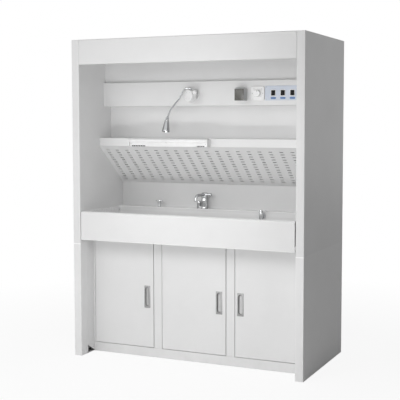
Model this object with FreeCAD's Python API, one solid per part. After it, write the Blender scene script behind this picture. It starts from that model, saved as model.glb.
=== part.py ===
import FreeCAD, Part
import math
import os

V = FreeCAD.Vector

# Driving dimensions in millimetres, +X right, +Y back, +Z up, origin under the middle
WIDTH = 1500.0
DEPTH = 750.0
HEIGHT = 1950.0

# Sheet metal
SHEET = 1.5
BEND = 2.0
SEAM = 1.0
SEAT_GAP = 0.3

# Double-skin side walls
WALL = 50.0
UPPER_RETURN = 35.0
LOWER_RETURN = 75.0
SPLIT_Z = 705.0
FILLER_Z = 50.0
GUSSET_FOOT_Z = 4.0

# Header and stepped inner back
HEADER_TALL = 150.0
HEADER_RETURN = 20.0
UPPER_BACK_IN = 312.0
BAND_IN = 290.0
BAND_LOW_Z = 1550.0
BAND_TALL = 150.0
MIDDLE_BACK_IN = 375.0
LIP_IN = 234.0
LIP_LOW_Z = 1301.0
LIP_TALL = 51.0
SLOPE_END_Z = 1059.0
LOWER_BACK_IN = 525.0
PLENUM_FLOOR_RISE = 26.0

# Punched grid of the sloping exhaust baffle
SLOT_PITCH_X = 69.0
SLOT_PITCH_SLOPE = 25.0
SLOT_EDGE_X = 40.0
SLOT_EDGE_SLOPE = 30.0
SLOT_LONG = 26.0
SLOT_TALL = 6.5

# Sink basin, tap ledge and front apron
RIM_Z = 902.0
BASIN_DEPTH = 150.0
BASIN_SIDE_GAP = 10.0
BASIN_BACK_IN = 465.0
BASIN_CORNER = 20.0
APRON_SIDE_GAP = 5.0
APRON_TALL = 175.0
APRON_ROLL = 24.0
APRON_ROLL_DROP = 22.0
APRON_FOOT = 30.0
APRON_ROLL_RADIUS = 10.5
WALL_HOLE_R = 4.5
WALL_HOLE_INS = (351.0, 455.0)
WALL_HOLE_DROP = 26.0

# Sink outlet
DRAIN_X = 0.0
DRAIN_IN = 245.0
DRAIN_HOLE_R = 40.0
DRAIN_FLANGE_R = 55.0
DRAIN_THROAT_R = 36.0
DRAIN_BODY_DEEP = 42.0
TAIL_R = 20.0
TAIL_BORE_R = 17.5
TRAP_R = 34.0
TRAP_TALL = 120.0
TRAP_TAIL = 60.0
BASKET_WALL = 1.2
BASKET_DEEP = 30.0
BASKET_FIT = 0.5
BASKET_HOLES = 8
BASKET_HOLE_R = 3.0

# Base cabinet front
DOOR_SET_BACK = 150.0
STILE = 10.0
MULLION = 55.0
MIDDLE_DOOR_HALF = 215.0
FRAME_DEEP = 32.0
KICK_TOP_Z = 57.0
DOOR_LOW_Z = 60.3
DOOR_HIGH_Z = 714.0
RAIL_LOW_Z = 717.0
DOOR_GAP = 3.0
DOOR_THICK = 18.0
DOOR_LIP = 14.0
HINGE_STILE = 22.0
PIVOT_IN = 6.0
PIN_R = 4.0
PIN_FIT = 0.06
PIN_REACH = 30.0
PIN_COLLAR_R = 5.6
PIN_TAIL = 5.0
REAR_RECESS = 50.0
REAR_INSET = 3.0

# Flush cup handles
HANDLE_WIDE = 44.0
HANDLE_TALL = 138.0
HANDLE_LOW_Z = 306.0
HANDLE_EDGE = 21.0
RIGHT_HANDLE_EDGE = 12.0
HANDLE_PLATE = 1.5
CUP_WIDE = 28.0
CUP_TALL = 118.0
CUP_DEEP = 14.0
CUP_WALL = 1.0
CUP_FIT = 0.3

# Lever tap on the ledge
TAP_X = -84.0
TAP_FROM_BACK = 34.0
TAP_R = 19.0
TAP_COLUMN = 68.0
TAP_HEAD = 34.0
TAP_BLOCK_X = 38.0
TAP_BLOCK_R = 14.0
TAP_BLOCK_TALL = 46.0
SPOUT_UP = 21.0
SPOUT_R = 9.0
SPOUT_BEND = 13.5
SPOUT_REACH = 132.0
SPOUT_DROP = 34.0
TAP_LEVER_R = 8.0
TAP_LEVER_LONG = 30.0
TAP_SPINDLE_R = 5.0
JOINT_FIT = 0.05

# Small tap on the rear wall of the basin
SPRAY_X = 325.0
SPRAY_REACH = 30.0
SPRAY_DROP = 26.0
SPRAY_R = 13.0
SPRAY_TALL = 54.0
SPRAY_STUB_R = 9.0
SPRAY_ROSE_R = 20.0
SPRAY_LEVER_LONG = 40.0
SPRAY_LEVER_THICK = 5.0

# Small valve with a cross bar, on the ledge over the rinse outlets
RINSE_X = -408.0
RINSE_R = 8.0
RINSE_TALL = 32.0
RINSE_STEM_R = 3.5
RINSE_STEM_TALL = 9.0
RINSE_HUB_R = 7.0
RINSE_HUB_TALL = 13.0
RINSE_BAR_R = 4.0
RINSE_BAR_LONG = 50.0

# Water supply and waste runs
PIPE_R = 7.5
PIPE_BORE_R = 6.0
PIPE_BEND = 30.0
SUPPLY_Z = 420.0
BRANCH_Z = 730.0
SPRAY_PIPE_GAP = 15.0
STUB_END_INSET = 5.0
STUB_COLLAR = 5.0
STUB_COLLAR_WALL = 4.0
WASTE_Z = 560.0
WASTE_BEND = 60.0
WASTE_LEVEL = 130.0
WASTE_SLOPE = 150.0

# Bar lamp on the lip
BAR_LEFT_X = -466.0
BAR_RIGHT_X = 75.0
BAR_TALL = 49.0
BAR_DEEP = 46.0
BAR_STEP_Z = 24.0
BAR_LOWER_DEEP = 34.0
BAR_TUBE_R = 11.0
BAR_CAP = 6.0
BAR_SLOT_TALL = 8.0
BAR_SLOTS = ((18.0, 96.0), (466.0, 50.0))

# Task lamp
LAMP_X = -54.0
LAMP_UP = 61.0
LAMP_ROSE_R = 24.0
LAMP_ROSE_DEEP = 8.0
LAMP_POST_R = 8.0
LAMP_SPINDLE_R = 4.8
DRUM_R = 37.5
DRUM_DEEP = 40.0
DRUM_TURN = 24.0
DRUM_STAND = 12.0
KNOB_R = 14.0
KNOB_LIFT = 27.0
NECK_R = 4.5
NECK_OFFSETS = (
    (8.0, -2.0, 34.0), (11.0, -4.0, 46.0), (-30.0, -17.0, 45.0), (-60.0, -32.0, -18.0),
    (-103.0, -60.0, -82.0), (-116.0, -83.0, -136.0))
NECK_RADII = (9.0, 24.0, 60.0, 40.0)
NECK_EYE_HALF = 6.0
NECK_EYE_R = 6.8
HEAD_PIN_R = 2.0
HEAD_TOP_R = 12.5
HEAD_LOW_R = 23.0
HEAD_LONG = 72.0
HEAD_TILT = 14.0
HEAD_WALL = 1.5
LENS_INSET = 6.0
LENS_THICK = 3.0

# Splash-proof socket
SOCKET_X = 259.0
SOCKET_WIDE = 61.0
SOCKET_UP = 29.0
SOCKET_TALL = 70.0
SOCKET_DEEP = 30.0
SOCKET_WALL = 3.0
SOCKET_LID_DEEP = 20.0
SOCKET_PIN_R = 2.0
SOCKET_HOLE_R = 2.6
SOCKET_HOLES = ((-10.0, 6.0), (10.0, 6.0), (0.0, -12.0))

# Square wall plate with the speed knob
PLATE_X = 359.5
PLATE_UP = 71.0
PLATE_SIDE = 86.0
PLATE_DEEP = 8.0
SPEED_R = 21.0
SPEED_DEEP = 16.0
SPEED_SHAFT_R = 3.0

# Control panel with three rockers
PANEL_LEFT_X = 405.0
PANEL_RIGHT_X = 627.0
PANEL_UP = 29.0
PANEL_TALL = 86.0
PANEL_THICK = 2.0
ROCKER_XS = (456.5, 516.0, 575.5)
ROCKER_UP = 73.0
ROCKER_WIDE = 24.0
ROCKER_TALL = 31.0
ROCKER_DEEP = 12.0
ROCKER_PROUD = 4.0
ROCKER_GAP = 0.5
ROCKER_PIVOT_IN = 4.0
ROCKER_TILT = 7.0
BEZEL_RIM = 3.0
BEZEL_PROUD = 2.0

# Exhaust path above the chamber
DUCT_X = 0.0
DUCT_FROM_BACK = 225.0
DUCT_R = 100.0
DUCT_WALL = 1.5
SPIGOT_TALL = 40.0
SPIGOT_FLANGE = 22.0
FAN_TALL = 150.0
FAN_TIP_GAP = 4.0
HUB_R = 38.0
HUB_TALL = 36.0
BLADES = 6
BLADE_TWIST = 32.0
MOTOR_R = 36.0
MOTOR_TALL = 60.0
SHAFT_R = 5.0
STRUT_WIDE = 10.0
FILTER_WIDE = 600.0
FILTER_DEEP = 280.0
FILTER_TALL = 50.0
FILTER_RIM = 20.0
FILTER_SKIN = 2.0
PLEATS = 10
PLEAT_DEEP = 14.0
GLAND_X = 520.0
GLAND_FROM_BACK = 75.0
GLAND_R = 12.0
GLAND_BORE_R = 5.0
GLAND_TALL = 24.0

# Places that follow from the driving dimensions
HALF = WIDTH / 2
FRONT = -DEPTH / 2
BACK = DEPTH / 2
INNER = HALF - WALL
PANEL_HALF = INNER - SEAT_GAP
HEADER_Z = HEIGHT - HEADER_TALL
UPPER_BACK_Y = FRONT + UPPER_BACK_IN
BAND_Y = FRONT + BAND_IN
BAND_HIGH_Z = BAND_LOW_Z + BAND_TALL
MIDDLE_BACK_Y = FRONT + MIDDLE_BACK_IN
LIP_Y = FRONT + LIP_IN
LIP_HIGH_Z = LIP_LOW_Z + LIP_TALL
LOWER_BACK_Y = FRONT + LOWER_BACK_IN
BASIN_HALF = INNER - BASIN_SIDE_GAP
BASIN_BACK_Y = FRONT + BASIN_BACK_IN
APRON_HALF = INNER - APRON_SIDE_GAP
WALL_HOLE_YS = [FRONT + reach for reach in WALL_HOLE_INS]
WALL_HOLE_Z = RIM_Z - WALL_HOLE_DROP
DRAIN_Y = FRONT + DRAIN_IN
DOOR_PLANE_Y = FRONT + DOOR_SET_BACK
TAP_Y = LOWER_BACK_Y - TAP_FROM_BACK
SPRAY_Y = BASIN_BACK_Y - SPRAY_REACH
SPRAY_Z = RIM_Z - SPRAY_DROP
SPRAY_PIPE_Y = LOWER_BACK_Y - SPRAY_PIPE_GAP
BAR_LOW_Z = LIP_LOW_Z
LAMP_Z = BAND_LOW_Z + LAMP_UP
SOCKET_LOW_Z = BAND_LOW_Z + SOCKET_UP
PLATE_Z = BAND_LOW_Z + PLATE_UP
PANEL_LOW_Z = BAND_LOW_Z + PANEL_UP
ROCKER_Z = BAND_LOW_Z + ROCKER_UP
DUCT_Y = BACK - DUCT_FROM_BACK
GLAND_Y = BACK - GLAND_FROM_BACK
BASIN_FLOOR_Z = RIM_Z - BASIN_DEPTH
APRON_LOW_Z = RIM_Z - APRON_TALL
BASIN_FRONT_Y = FRONT + APRON_ROLL + 2 * SHEET
LOWER_REAR_Y = BACK - REAR_RECESS
REAR_Y = BACK - REAR_INSET
PIVOT_Y = DOOR_PLANE_Y + PIVOT_IN
STUB_END_Y = BACK - STUB_END_INSET
SHELF_Z = BAND_LOW_Z + SHEET


def block(xs, ys, zs):
    """A box from three pairs of low and high limits."""
    return Part.makeBox(xs[1] - xs[0], ys[1] - ys[0], zs[1] - zs[0], V(xs[0], ys[0], zs[0]))


def path_edges(points, radii):
    """Straight runs joined by tangent arcs, one radius for each inner point."""
    edges = []
    start = points[0]
    for index in range(1, len(points) - 1):
        corner = points[index]
        radius = radii[index - 1]
        back = (points[index - 1] - corner).normalize()
        ahead = (points[index + 1] - corner).normalize()
        half = back.getAngle(ahead) / 2
        reach = radius / math.tan(half)
        first = corner + back * reach
        last = corner + ahead * reach
        middle = corner + (back + ahead).normalize() * (radius / math.sin(half) - radius)
        edges.append(Part.LineSegment(start, first).toShape())
        edges.append(Part.Arc(first, middle, last).toShape())
        start = last
    edges.append(Part.LineSegment(start, points[-1]).toShape())
    return edges


def folded_sheet(points, along, side, thickness=SHEET, bends=None):
    """A bent sheet: the path is one face of it, and side says to which hand it gains its thickness."""
    normal = V(along).normalize()
    runs = [(points[i + 1] - points[i]).normalize() for i in range(len(points) - 1)]
    hands = [normal.cross(run) * side for run in runs]
    bends = bends or [BEND] * (len(points) - 2)
    far = [points[0] + hands[0] * thickness]
    near_radii = []
    far_radii = []
    for i in range(1, len(points) - 1):
        first, second = hands[i - 1], hands[i]
        far.append(points[i] + (first + second) * (thickness / (1 + first.dot(second))))
        inward = first.dot(runs[i]) > 0
        near_radii.append(bends[i - 1] + (thickness if inward else 0))
        far_radii.append(bends[i - 1] + (0 if inward else thickness))
    far.append(points[-1] + hands[-1] * thickness)
    edges = path_edges(points, near_radii)
    edges.append(Part.LineSegment(points[-1], far[-1]).toShape())
    edges += path_edges(far[::-1], far_radii[::-1])
    edges.append(Part.LineSegment(far[0], points[0]).toShape())
    return Part.Face(Part.Wire(edges)).extrude(along)


def across(profile, half, side, bends=None, thickness=SHEET):
    """A bent sheet that runs from side to side, from its outline in Y and Z."""
    points = [V(-half, y, z) for y, z in profile]
    return folded_sheet(points, V(2 * half, 0, 0), side, thickness, bends)


def turned(profile, centre, axis=V(0, 0, 1)):
    """A solid of revolution from points of radius and height along its axis."""
    points = [V(radius, 0, height) for radius, height in profile]
    face = Part.Face(Part.makePolygon(points + [points[0]]))
    solid = face.revolve(V(0, 0, 0), V(0, 0, 1), 360)
    turn = FreeCAD.Rotation(V(0, 0, 1), axis)
    solid.Placement = FreeCAD.Placement(centre, turn)
    return solid


def rod(radius, start, end):
    """A round bar between two points."""
    return Part.makeCylinder(radius, (end - start).Length, start, end - start)


def ring(outer, inner, start, end):
    """A round tube between two points."""
    return rod(outer, start, end).cut(rod(inner, start, end))


def swept_bar(points, radii, radius):
    """A round bar along a path of runs and arcs."""
    spine = Part.Wire(path_edges(points, radii))
    circle = Part.makeCircle(radius, points[0], points[1] - points[0])
    return Part.makeSolid(spine.makePipeShell([Part.Wire([circle])], True, False))


def swept_pipe(points, radii, outer, inner):
    """A round pipe along a path of runs and arcs."""
    return swept_bar(points, radii, outer).cut(swept_bar(points, radii, inner))


def stadium(x, y, z, wide, tall, deep):
    """An upright slab with round ends, wide in X, tall in Z, that runs deep along Y from y."""
    radius = wide / 2
    low = V(x, y, z + radius)
    high = V(x, y, z + tall - radius)
    reach = V(radius, 0, 0)
    points = [low - reach, high - reach, high + reach, low + reach]
    edges = [
        Part.LineSegment(points[0], points[1]).toShape(),
        Part.Arc(points[1], high + V(0, 0, radius), points[2]).toShape(),
        Part.LineSegment(points[2], points[3]).toShape(),
        Part.Arc(points[3], low + V(0, 0, -radius), points[0]).toShape(),
    ]
    return Part.Face(Part.Wire(edges)).extrude(V(0, deep, 0))


def mirrored(shape):
    """The same piece on the other side of the middle plane."""
    return shape.mirror(V(0, 0, 0), V(1, 0, 0))


def save(name, *solids):
    """Write one node, as one solid or a group of solids."""
    pieces = []
    for shape in solids:
        pieces += shape.Solids
    shape = pieces[0] if len(pieces) == 1 else Part.makeCompound(pieces)
    if not shape.isValid():
        raise RuntimeError(name + " is not a valid shape")
    shape.exportStep("parts/" + name + ".step")


def side_skin(back_return_x, front_return, low, high):
    """The outer skin of a side wall, folded round the front post and round the back edge."""
    points = [
        V(INNER, FRONT + front_return, low),
        V(INNER, FRONT, low),
        V(HALF, FRONT, low),
        V(HALF, BACK, low),
        V(back_return_x, BACK, low),
    ]
    return folded_sheet(points, V(0, 0, high - low), 1)


def make_side_walls():
    """Upper side skins closed by a cap, and lower side skins closed by a foot plate."""
    end_xs = (INNER + SHEET, HALF - SHEET)
    end_ys = (FRONT + SHEET, BACK - SHEET)
    cap = block(end_xs, end_ys, (HEIGHT - SHEET, HEIGHT))
    upper = side_skin(INNER, UPPER_RETURN, SPLIT_Z, HEIGHT).fuse(cap).removeSplitter()
    save("upper_sides", upper, mirrored(upper))
    foot = block(end_xs, end_ys, (0, SHEET))
    lower = side_skin(INNER, LOWER_RETURN, 0, SPLIT_Z).fuse(foot).removeSplitter()
    save("lower_sides", lower, mirrored(lower))


def make_liners():
    """Inner skins of the side walls, and the gussets under the fillers beside the doors."""
    xs = (INNER, INNER + SHEET)
    end_y = BACK - 2 * SHEET
    upper = block(xs, (FRONT + UPPER_RETURN + SEAM, end_y), (SPLIT_Z, HEIGHT - SHEET))
    save("chamber_liners", upper, mirrored(upper))
    start_y = FRONT + LOWER_RETURN + SEAM
    lower = block(xs, (start_y, end_y), (FILLER_Z, SPLIT_Z))
    outline = [
        V(INNER, start_y, FILLER_Z),
        V(INNER, DOOR_PLANE_Y, FILLER_Z),
        V(INNER, DOOR_PLANE_Y, GUSSET_FOOT_Z),
    ]
    gusset = Part.Face(Part.makePolygon(outline + [outline[0]])).extrude(V(SHEET, 0, 0))
    save("cabinet_liners", lower, mirrored(lower), gusset, mirrored(gusset))


def make_header():
    """The flush header and the roof with the holes for the duct and the mains gland."""
    profile = [
        (FRONT + HEADER_RETURN, HEADER_Z),
        (FRONT, HEADER_Z),
        (FRONT, HEIGHT - SHEET),
        (FRONT + HEADER_RETURN, HEIGHT - SHEET),
    ]
    save("header_fascia", across(profile, INNER - SEAM, -1))
    roof = block((-PANEL_HALF, PANEL_HALF), (FRONT, REAR_Y), (HEIGHT - SHEET, HEIGHT))
    roof = roof.cut(rod(DUCT_R - DUCT_WALL, V(DUCT_X, DUCT_Y, HEADER_Z), V(DUCT_X, DUCT_Y, HEIGHT + WALL)))
    gland_low = V(GLAND_X, GLAND_Y, HEADER_Z)
    gland_hole = rod(GLAND_BORE_R + SHEET, gland_low, V(GLAND_X, GLAND_Y, HEIGHT + WALL))
    save("roof_panel", roof.cut(gland_hole))


def make_inner_back():
    """The stepped back of the work chamber, each step a folded sheet from wall to wall."""
    upper = across([(UPPER_BACK_Y, BAND_HIGH_Z), (UPPER_BACK_Y, HEIGHT - SHEET)], PANEL_HALF, -1)
    middle = across([(MIDDLE_BACK_Y, LIP_HIGH_Z), (MIDDLE_BACK_Y, BAND_LOW_Z)], PANEL_HALF, -1)
    save("inner_back_panels", upper, middle)
    band = [
        (MIDDLE_BACK_Y, BAND_LOW_Z),
        (BAND_Y, BAND_LOW_Z),
        (BAND_Y, BAND_HIGH_Z),
        (UPPER_BACK_Y + FRAME_DEEP, BAND_HIGH_Z),
    ]
    band_sheet = across(band, PANEL_HALF, -1)
    spindle_y = (BAND_Y - SHEET, BAND_Y + 2 * SHEET)
    hole_start = V(PLATE_X, spindle_y[0], PLATE_Z)
    hole = rod(SPEED_SHAFT_R + JOINT_FIT, hole_start, V(PLATE_X, spindle_y[1], PLATE_Z))
    band_sheet = band_sheet.cut(hole)
    for x in ROCKER_XS:
        band_sheet = band_sheet.cut(rocker_prism(x, ROCKER_GAP + SHEET, spindle_y))
    save("control_band", band_sheet)
    lip = [(LIP_Y, LIP_LOW_Z), (LIP_Y, LIP_HIGH_Z), (MIDDLE_BACK_Y + SHEET, LIP_HIGH_Z)]
    save("baffle_lip", across(lip, PANEL_HALF, -1))
    plenum_floor_z = SLOPE_END_Z + PLENUM_FLOOR_RISE
    lower = [
        (LOWER_BACK_Y, RIM_Z),
        (LOWER_BACK_Y, plenum_floor_z),
        (REAR_Y - SHEET - SEAT_GAP, plenum_floor_z),
    ]
    save("lower_back_panel", across(lower, PANEL_HALF, -1))


def slot_wire(x, y, z):
    """Outline of a slot with round ends, longer in X."""
    end_r = SLOT_TALL / 2
    reach = SLOT_LONG / 2 - end_r
    left, right = x - reach, x + reach
    low, high = y - end_r, y + end_r
    edges = [
        Part.LineSegment(V(left, low, z), V(right, low, z)).toShape(),
        Part.Arc(V(right, low, z), V(right + end_r, y, z), V(right, high, z)).toShape(),
        Part.LineSegment(V(right, high, z), V(left, high, z)).toShape(),
        Part.Arc(V(left, high, z), V(left - end_r, y, z), V(left, low, z)).toShape(),
    ]
    return Part.Wire(edges)


def make_slotted_baffle():
    """The sloping exhaust panel with its punched grid of slots."""
    run = LOWER_BACK_Y - SEAT_GAP - LIP_Y
    fall = LIP_LOW_Z - SLOPE_END_Z
    slope_long = math.hypot(run, fall)
    column_steps = int((PANEL_HALF - SLOT_EDGE_X) * 2 / SLOT_PITCH_X)
    row_steps = int((slope_long - SLOT_EDGE_SLOPE * 2) / SLOT_PITCH_SLOPE)
    first_x = -SLOT_PITCH_X * column_steps / 2
    first_y = (slope_long - SLOT_PITCH_SLOPE * row_steps) / 2
    corners = [
        V(-PANEL_HALF, 0, -SHEET),
        V(PANEL_HALF, 0, -SHEET),
        V(PANEL_HALF, slope_long, -SHEET),
        V(-PANEL_HALF, slope_long, -SHEET),
    ]
    wires = [Part.makePolygon(corners + [corners[0]])]
    for column in range(column_steps + 1):
        for row in range(row_steps + 1):
            x = first_x + column * SLOT_PITCH_X
            y = first_y + row * SLOT_PITCH_SLOPE
            wires.append(slot_wire(x, y, -SHEET).reversed())
    sheet = Part.Face(wires).extrude(V(0, 0, SHEET))
    tilt = -math.degrees(math.atan2(fall, run))
    sheet.Placement = FreeCAD.Placement(V(0, LIP_Y, LIP_LOW_Z), FreeCAD.Rotation(V(1, 0, 0), tilt))
    save("slotted_baffle", sheet)


def make_rear_covers():
    """The outer back: the upper cover is flush, the lower one is set in to leave room for the plumbing."""
    xs = (-PANEL_HALF, PANEL_HALF)
    upper = block(xs, (REAR_Y - SHEET, REAR_Y), (SPLIT_Z, HEIGHT - SHEET))
    lower = block(xs, (LOWER_REAR_Y, LOWER_REAR_Y + SHEET), (KICK_TOP_Z, SPLIT_Z))
    for x in (TAP_X, SPRAY_X):
        lower = lower.cut(rod(PIPE_R, V(x, LOWER_REAR_Y - SHEET, SUPPLY_Z), V(x, BACK, SUPPLY_Z)))
    lower = lower.cut(rod(TAIL_R, V(DRAIN_X, LOWER_REAR_Y - SHEET, WASTE_Z), V(DRAIN_X, BACK, WASTE_Z)))
    ledge = block(xs, (LOWER_REAR_Y, REAR_Y - SHEET), (SPLIT_Z, SPLIT_Z + SHEET))
    save("rear_covers", upper, lower, ledge)


def door_limits():
    """Name, low and high X of each door leaf, and -1 or +1 for a hinge at its left or right edge."""
    middle = MIDDLE_DOOR_HALF - DOOR_GAP
    outer_low = MIDDLE_DOOR_HALF + MULLION + DOOR_GAP
    outer_high = INNER - STILE - DOOR_GAP
    return [
        ("left", -outer_high, -outer_low, -1),
        ("middle", -middle, middle, -1),
        ("right", outer_low, outer_high, 1),
    ]


def pivot_x(low, high, hand):
    """X of the pivot pins, set in from the hinge edge of a leaf."""
    return low + PIVOT_IN if hand < 0 else high - PIVOT_IN


def handle_x(low, high, hand):
    """Middle of the flush handle, near the free edge of a leaf."""
    if hand < 0:
        return high - HANDLE_EDGE - HANDLE_WIDE / 2
    return low + RIGHT_HANDLE_EDGE + HANDLE_WIDE / 2


def make_cabinet_frame():
    """The rail over the doors, the uprights between them, the kick plate and the cabinet floor."""
    rear_y = DOOR_PLANE_Y + FRAME_DEEP
    rail = [
        (rear_y, RAIL_LOW_Z),
        (DOOR_PLANE_Y, RAIL_LOW_Z),
        (DOOR_PLANE_Y, BASIN_FLOOR_Z - SHEET),
        (rear_y, BASIN_FLOOR_Z - SHEET),
    ]
    rail_sheet = across(rail, PANEL_HALF, -1)
    kick = [(DOOR_PLANE_Y, 0), (DOOR_PLANE_Y, KICK_TOP_Z), (rear_y, KICK_TOP_Z)]
    kick_sheet = across(kick, PANEL_HALF, -1)
    for name, low, high, hand in door_limits():
        x = pivot_x(low, high, hand)
        rail_hole = rod(PIN_R, V(x, PIVOT_Y, RAIL_LOW_Z - SHEET), V(x, PIVOT_Y, RAIL_LOW_Z + WALL / 2))
        rail_sheet = rail_sheet.cut(rail_hole)
        kick_hole = rod(PIN_R, V(x, PIVOT_Y, KICK_TOP_Z - WALL / 2), V(x, PIVOT_Y, KICK_TOP_Z + SHEET))
        kick_sheet = kick_sheet.cut(kick_hole)
    save("frame_rails", rail_sheet, kick_sheet)
    inner_x = MIDDLE_DOOR_HALF
    outer_x = MIDDLE_DOOR_HALF + MULLION
    mullion = [V(x, y, KICK_TOP_Z) for x, y in (
        (inner_x, rear_y), (inner_x, DOOR_PLANE_Y), (outer_x, DOOR_PLANE_Y), (outer_x, rear_y))]
    upright = V(0, 0, RAIL_LOW_Z - KICK_TOP_Z)
    mullion_sheet = folded_sheet(mullion, upright, 1)
    stile_x = INNER - STILE
    stile = [V(x, y, KICK_TOP_Z) for x, y in (
        (stile_x, rear_y), (stile_x, DOOR_PLANE_Y), (INNER, DOOR_PLANE_Y))]
    stile_sheet = folded_sheet(stile, upright, 1)
    save("frame_uprights", mullion_sheet, mirrored(mullion_sheet), stile_sheet, mirrored(stile_sheet))
    floor_ys = (rear_y, LOWER_REAR_Y)
    floor = block((-PANEL_HALF, PANEL_HALF), floor_ys, (KICK_TOP_Z - SHEET, KICK_TOP_Z))
    save("cabinet_floor", floor)


def make_door(name, low, high, hand):
    """A pan-shaped leaf with a solid hinge edge bored for its pins, and a window for the cup handle."""
    front = DOOR_PLANE_Y
    rear = DOOR_PLANE_Y + DOOR_THICK
    leaf = block((low, high), (front, rear), (DOOR_LOW_Z, DOOR_HIGH_Z))
    hollow_low = low + (HINGE_STILE if hand < 0 else SHEET)
    hollow_high = high - (SHEET if hand < 0 else HINGE_STILE)
    zs = (DOOR_LOW_Z + SHEET, DOOR_HIGH_Z - SHEET)
    leaf = leaf.cut(block((hollow_low, hollow_high), (front + SHEET, rear - SHEET), zs))
    mouth_xs = (hollow_low + DOOR_LIP, hollow_high - DOOR_LIP)
    mouth_zs = (zs[0] + DOOR_LIP, zs[1] - DOOR_LIP)
    leaf = leaf.cut(block(mouth_xs, (rear - 2 * SHEET, rear + SHEET), mouth_zs))
    x = pivot_x(low, high, hand)
    bore_tall = PIN_REACH + SHEET
    for low_z, high_z in ((DOOR_LOW_Z, DOOR_LOW_Z + bore_tall), (DOOR_HIGH_Z - bore_tall, DOOR_HIGH_Z)):
        leaf = leaf.cut(rod(PIN_R + PIN_FIT, V(x, PIVOT_Y, low_z), V(x, PIVOT_Y, high_z)))
    cup_x = handle_x(low, high, hand)
    cup_low = HANDLE_LOW_Z + (HANDLE_TALL - CUP_TALL) / 2 - CUP_WALL - CUP_FIT
    fit_wide = CUP_WIDE + 2 * CUP_WALL + 2 * CUP_FIT
    fit_tall = CUP_TALL + 2 * CUP_WALL + 2 * CUP_FIT
    window = stadium(cup_x, front - SHEET, cup_low, fit_wide, fit_tall, 3 * SHEET)
    save("door_" + name, leaf.cut(window))


def make_handle(name, low, high, hand):
    """A flush pressed handle: an oblong plate on the door with an upright cup behind it."""
    x = handle_x(low, high, hand)
    front = DOOR_PLANE_Y - HANDLE_PLATE
    plate = block(
        (x - HANDLE_WIDE / 2, x + HANDLE_WIDE / 2),
        (front, DOOR_PLANE_Y),
        (HANDLE_LOW_Z, HANDLE_LOW_Z + HANDLE_TALL))
    upright = [edge for edge in plate.Edges if abs(edge.tangentAt(edge.FirstParameter).y) > 0.9]
    plate = plate.makeFillet(BEND * 2, upright)
    cup_low = HANDLE_LOW_Z + (HANDLE_TALL - CUP_TALL) / 2
    shell = stadium(
        x, front + HANDLE_PLATE / 2, cup_low - CUP_WALL,
        CUP_WIDE + 2 * CUP_WALL, CUP_TALL + 2 * CUP_WALL, CUP_DEEP + CUP_WALL)
    hollow = stadium(x, front - SHEET, cup_low, CUP_WIDE, CUP_TALL, CUP_DEEP + SHEET + HANDLE_PLATE / 2)
    save("handle_" + name, plate.fuse(shell).cut(hollow).removeSplitter())


def hinge_pin(base, axis, room):
    """A pin through a sheet, with a collar that fills the room between the sheet and the leaf."""
    collar_top = room - SEAT_GAP
    profile = [
        (0, -PIN_TAIL), (PIN_R, -PIN_TAIL), (PIN_R, 0), (PIN_COLLAR_R, 0), (PIN_COLLAR_R, collar_top),
        (PIN_R, collar_top), (PIN_R, PIN_REACH), (0, PIN_REACH),
    ]
    return turned(profile, base, axis)


def make_hinge_pins():
    """Collared pins in the rail over the doors, and the ones that carry the doors on the kick plate."""
    pins = []
    for name, low, high, hand in door_limits():
        x = pivot_x(low, high, hand)
        pins.append(hinge_pin(V(x, PIVOT_Y, RAIL_LOW_Z), V(0, 0, -1), RAIL_LOW_Z - DOOR_HIGH_Z))
        pins.append(hinge_pin(V(x, PIVOT_Y, KICK_TOP_Z), V(0, 0, 1), DOOR_LOW_Z - KICK_TOP_Z))
    save("hinge_pins", *pins)


def make_sink():
    """The pressed basin with its tap ledge, and the deep apron with a rolled top edge."""
    outer = block(
        (-BASIN_HALF - SHEET, BASIN_HALF + SHEET),
        (BASIN_FRONT_Y - SHEET, BASIN_BACK_Y + SHEET),
        (BASIN_FLOOR_Z - SHEET, RIM_Z))
    inner = block(
        (-BASIN_HALF, BASIN_HALF),
        (BASIN_FRONT_Y, BASIN_BACK_Y),
        (BASIN_FLOOR_Z, RIM_Z + WALL))
    outer = round_tub(outer, BASIN_CORNER + SHEET, BASIN_FLOOR_Z - SHEET)
    inner = round_tub(inner, BASIN_CORNER, BASIN_FLOOR_Z)
    rim = block((-PANEL_HALF, PANEL_HALF), (BASIN_FRONT_Y - SHEET, LOWER_BACK_Y), (RIM_Z - SHEET, RIM_Z))
    tub = outer.fuse(rim).cut(inner)
    drain_low = V(DRAIN_X, DRAIN_Y, BASIN_FLOOR_Z - WALL)
    tub = tub.cut(rod(DRAIN_HOLE_R, drain_low, drain_low + V(0, 0, 2 * WALL)))
    for y in WALL_HOLE_YS:
        tub = tub.cut(rod(WALL_HOLE_R, V(-INNER, y, WALL_HOLE_Z), V(-INNER + WALL / 2, y, WALL_HOLE_Z)))
    for x in (TAP_X, RINSE_X):
        tub = tub.cut(rod(PIPE_R, V(x, TAP_Y, RIM_Z - WALL / 2), V(x, TAP_Y, RIM_Z + SHEET)))
    spray_end_y = BASIN_BACK_Y + 2 * SHEET
    tub = tub.cut(rod(PIPE_R, V(SPRAY_X, SPRAY_Y, SPRAY_Z), V(SPRAY_X, spray_end_y, SPRAY_Z)))
    save("basin", tub.removeSplitter())
    apron = [
        (FRONT + APRON_FOOT, APRON_LOW_Z),
        (FRONT, APRON_LOW_Z),
        (FRONT, RIM_Z),
        (FRONT + APRON_ROLL + SHEET, RIM_Z),
        (FRONT + APRON_ROLL + SHEET, RIM_Z - APRON_ROLL_DROP),
    ]
    bends = [BEND, APRON_ROLL_RADIUS, APRON_ROLL_RADIUS]
    save("front_apron", across(apron, APRON_HALF, -1, bends))


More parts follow.
